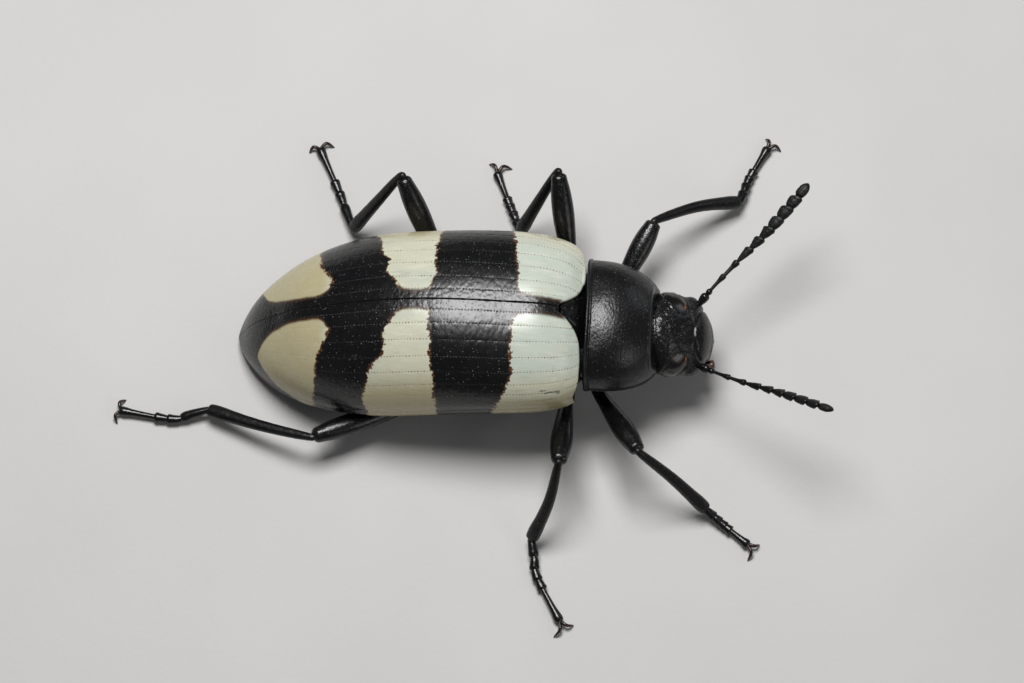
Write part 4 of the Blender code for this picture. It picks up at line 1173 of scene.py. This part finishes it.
def claw_grid(foot, along, heading, reach):
    # Leaves the foot near its own direction, arches over and hooks down to the floor
    out = np.array([cos(heading), sin(heading), 0])
    turn = -1 if np.cross(along[:2], out[:2]) > 0 else 1
    first = heading + turn * radians(22)
    bend = foot + np.array([cos(first), sin(first), 0]) * reach * 0.52
    bend[2] = foot[2] + 0.04
    tip = foot + out * reach
    tip[2] = 0.02
    return tube_grid((foot - along * 0.08, bend, tip), CLAW_SHAPE, 36, 18, 0.05, 0.03)


def build_tarsus(name, leg):
    ankle = np.array(leg["ankle"])
    instep = np.array([*leg["instep"], INSTEP_HEIGHT])
    start = ankle + (ankle - instep) * 0.06
    start[2] = ankle[2] - 0.02
    middle = (ankle + instep) / 2 + np.array([0, 0, -0.03])
    line, walked = route_points((start, middle, instep, (*leg["foot"], FOOT_HEIGHT)))
    lengths = HIND_TARSUS_SHARES if name.startswith("hind") else FRONT_TARSUS_SHARES
    bounds = np.concatenate([[0], np.cumsum(lengths)]) / sum(lengths) * walked[-1]
    shape, hairs = Shape(), Shape()
    random = np.random.default_rng(sum(ord(letter) for letter in name))
    for k, share in enumerate(lengths):
        last = k == len(lengths) - 1
        spots = np.linspace(bounds[k] - 0.06 * (k > 0), bounds[k + 1] + 0.02 * (not last), 6)
        form = LAST_TARSUS_SHAPE if last else TARSUS_SHAPE
        grid = tube_grid(spots_on(line, walked, spots), form, 60, 44, 0.05, 0.08)
        shape.add(relief(grid, "tarsus"))
        # Hairs under each segment but the last
        for _ in range(0 if last else int(HAIRS_PER_TARSUS * share)):
            at = bounds[k] + random.uniform(0.25, 0.98) * (bounds[k + 1] - bounds[k])
            root = spots_on(line, walked, at)
            ahead = direction(spots_on(line, walked, at + 0.05) - root)
            side = np.cross(ahead, (0, 0, 1))
            root = root + side * random.uniform(-0.1, 0.1) - np.array([0, 0, 0.07])
            tip = root + ahead * random.uniform(0.02, 0.06) + side * random.uniform(-0.02, 0.02)
            tip[2] = max(root[2] - 0.11, 0.004)
            hairs.add(tube_grid((root, tip), HAIR_SHAPE, 4, 5))
    along = direction(line[-1] - line[-12])
    for heading, reach in leg["claws"]:
        shape.add(claw_grid(line[-1], along, radians(heading), reach), slot=1)
    shape.build(f"tarsus_{name}", ["tarsus", "horn"], "dull_black_cuticle", f"leg_{name}_tarsus")
    hairs.build(f"sole_hairs_{name}", ["hair"], "brown_cuticle")


def build_floor():
    mesh = bpy.data.meshes.new("floor")
    corners = [(x * FLOOR_REACH, y * FLOOR_REACH, 0) for x, y in ((-1, -1), (1, -1), (1, 1), (-1, 1))]
    mesh.from_pydata(corners, [], [(0, 1, 2, 3)])
    mesh.materials.append(floor_material())
    floor = add_object("floor", mesh)


def build_camera():
    turn, height = radians(CAMERA_TURN), radians(CAMERA_HEIGHT)
    back = Vector((sin(turn) * cos(height), -cos(turn) * cos(height), sin(height)))
    right = Vector((cos(turn), sin(turn), 0))
    up = back.cross(right)
    target = Vector(CAMERA_TARGET) - Vector((*FOOTPRINT_MIDDLE, 0))
    eye = (target + back * CAMERA_DISTANCE) * MM
    data = bpy.data.cameras.new("camera")
    data.sensor_width = SENSOR
    data.lens = PIXELS_PER_MM * CAMERA_DISTANCE / PHOTO_WIDTH * SENSOR
    data.clip_start = 0.001
    data.clip_end = 10
    camera = add_object("camera", data)
    rows = [(right[k], up[k], back[k], eye[k]) for k in range(3)]
    camera.matrix_world = Matrix([*rows, (0, 0, 0, 1)])
    bpy.context.scene.camera = camera


def add_light(name, place, aim, size, power, colour):
    data = bpy.data.lights.new(name, "AREA")
    data.shape = "RECTANGLE"
    data.size, data.size_y = (length * MM for length in size)
    data.energy = power
    data.color = colour
    light = add_object(name, data)
    light.location = Vector(place) * MM
    light.rotation_euler = (Vector(aim) - Vector(place)).to_track_quat("-Z", "Y").to_euler()


def build_lights():
    for light in LIGHTS:
        add_light(*light)
    world = bpy.data.worlds.new("studio")
    world.use_nodes = True
    background = world.node_tree.nodes["Background"]
    background.inputs["Color"].default_value = WORLD_COLOUR
    background.inputs["Strength"].default_value = WORLD_STRENGTH
    bpy.context.scene.world = world
    bpy.context.scene.view_settings.view_transform = "Standard"


def main():
    build_camera()
    for side, name in ((1, "left"), (-1, "right")):
        build_wing_case(side, name)
        build_eye(side, name)
        build_mouthparts(side, name)
        build_antenna(side, name)
    build_scutellum()
    build_core()
    build_prothorax()
    build_head()
    build_labrum()
    for name, values in LEGS.items():
        leg = dict(zip(LEG_POINTS, values))
        build_coxa(name, leg)
        build_femur(name, leg)
        build_tibia(name, leg)
        build_tarsus(name, leg)
    build_floor()
    build_lights()


main()
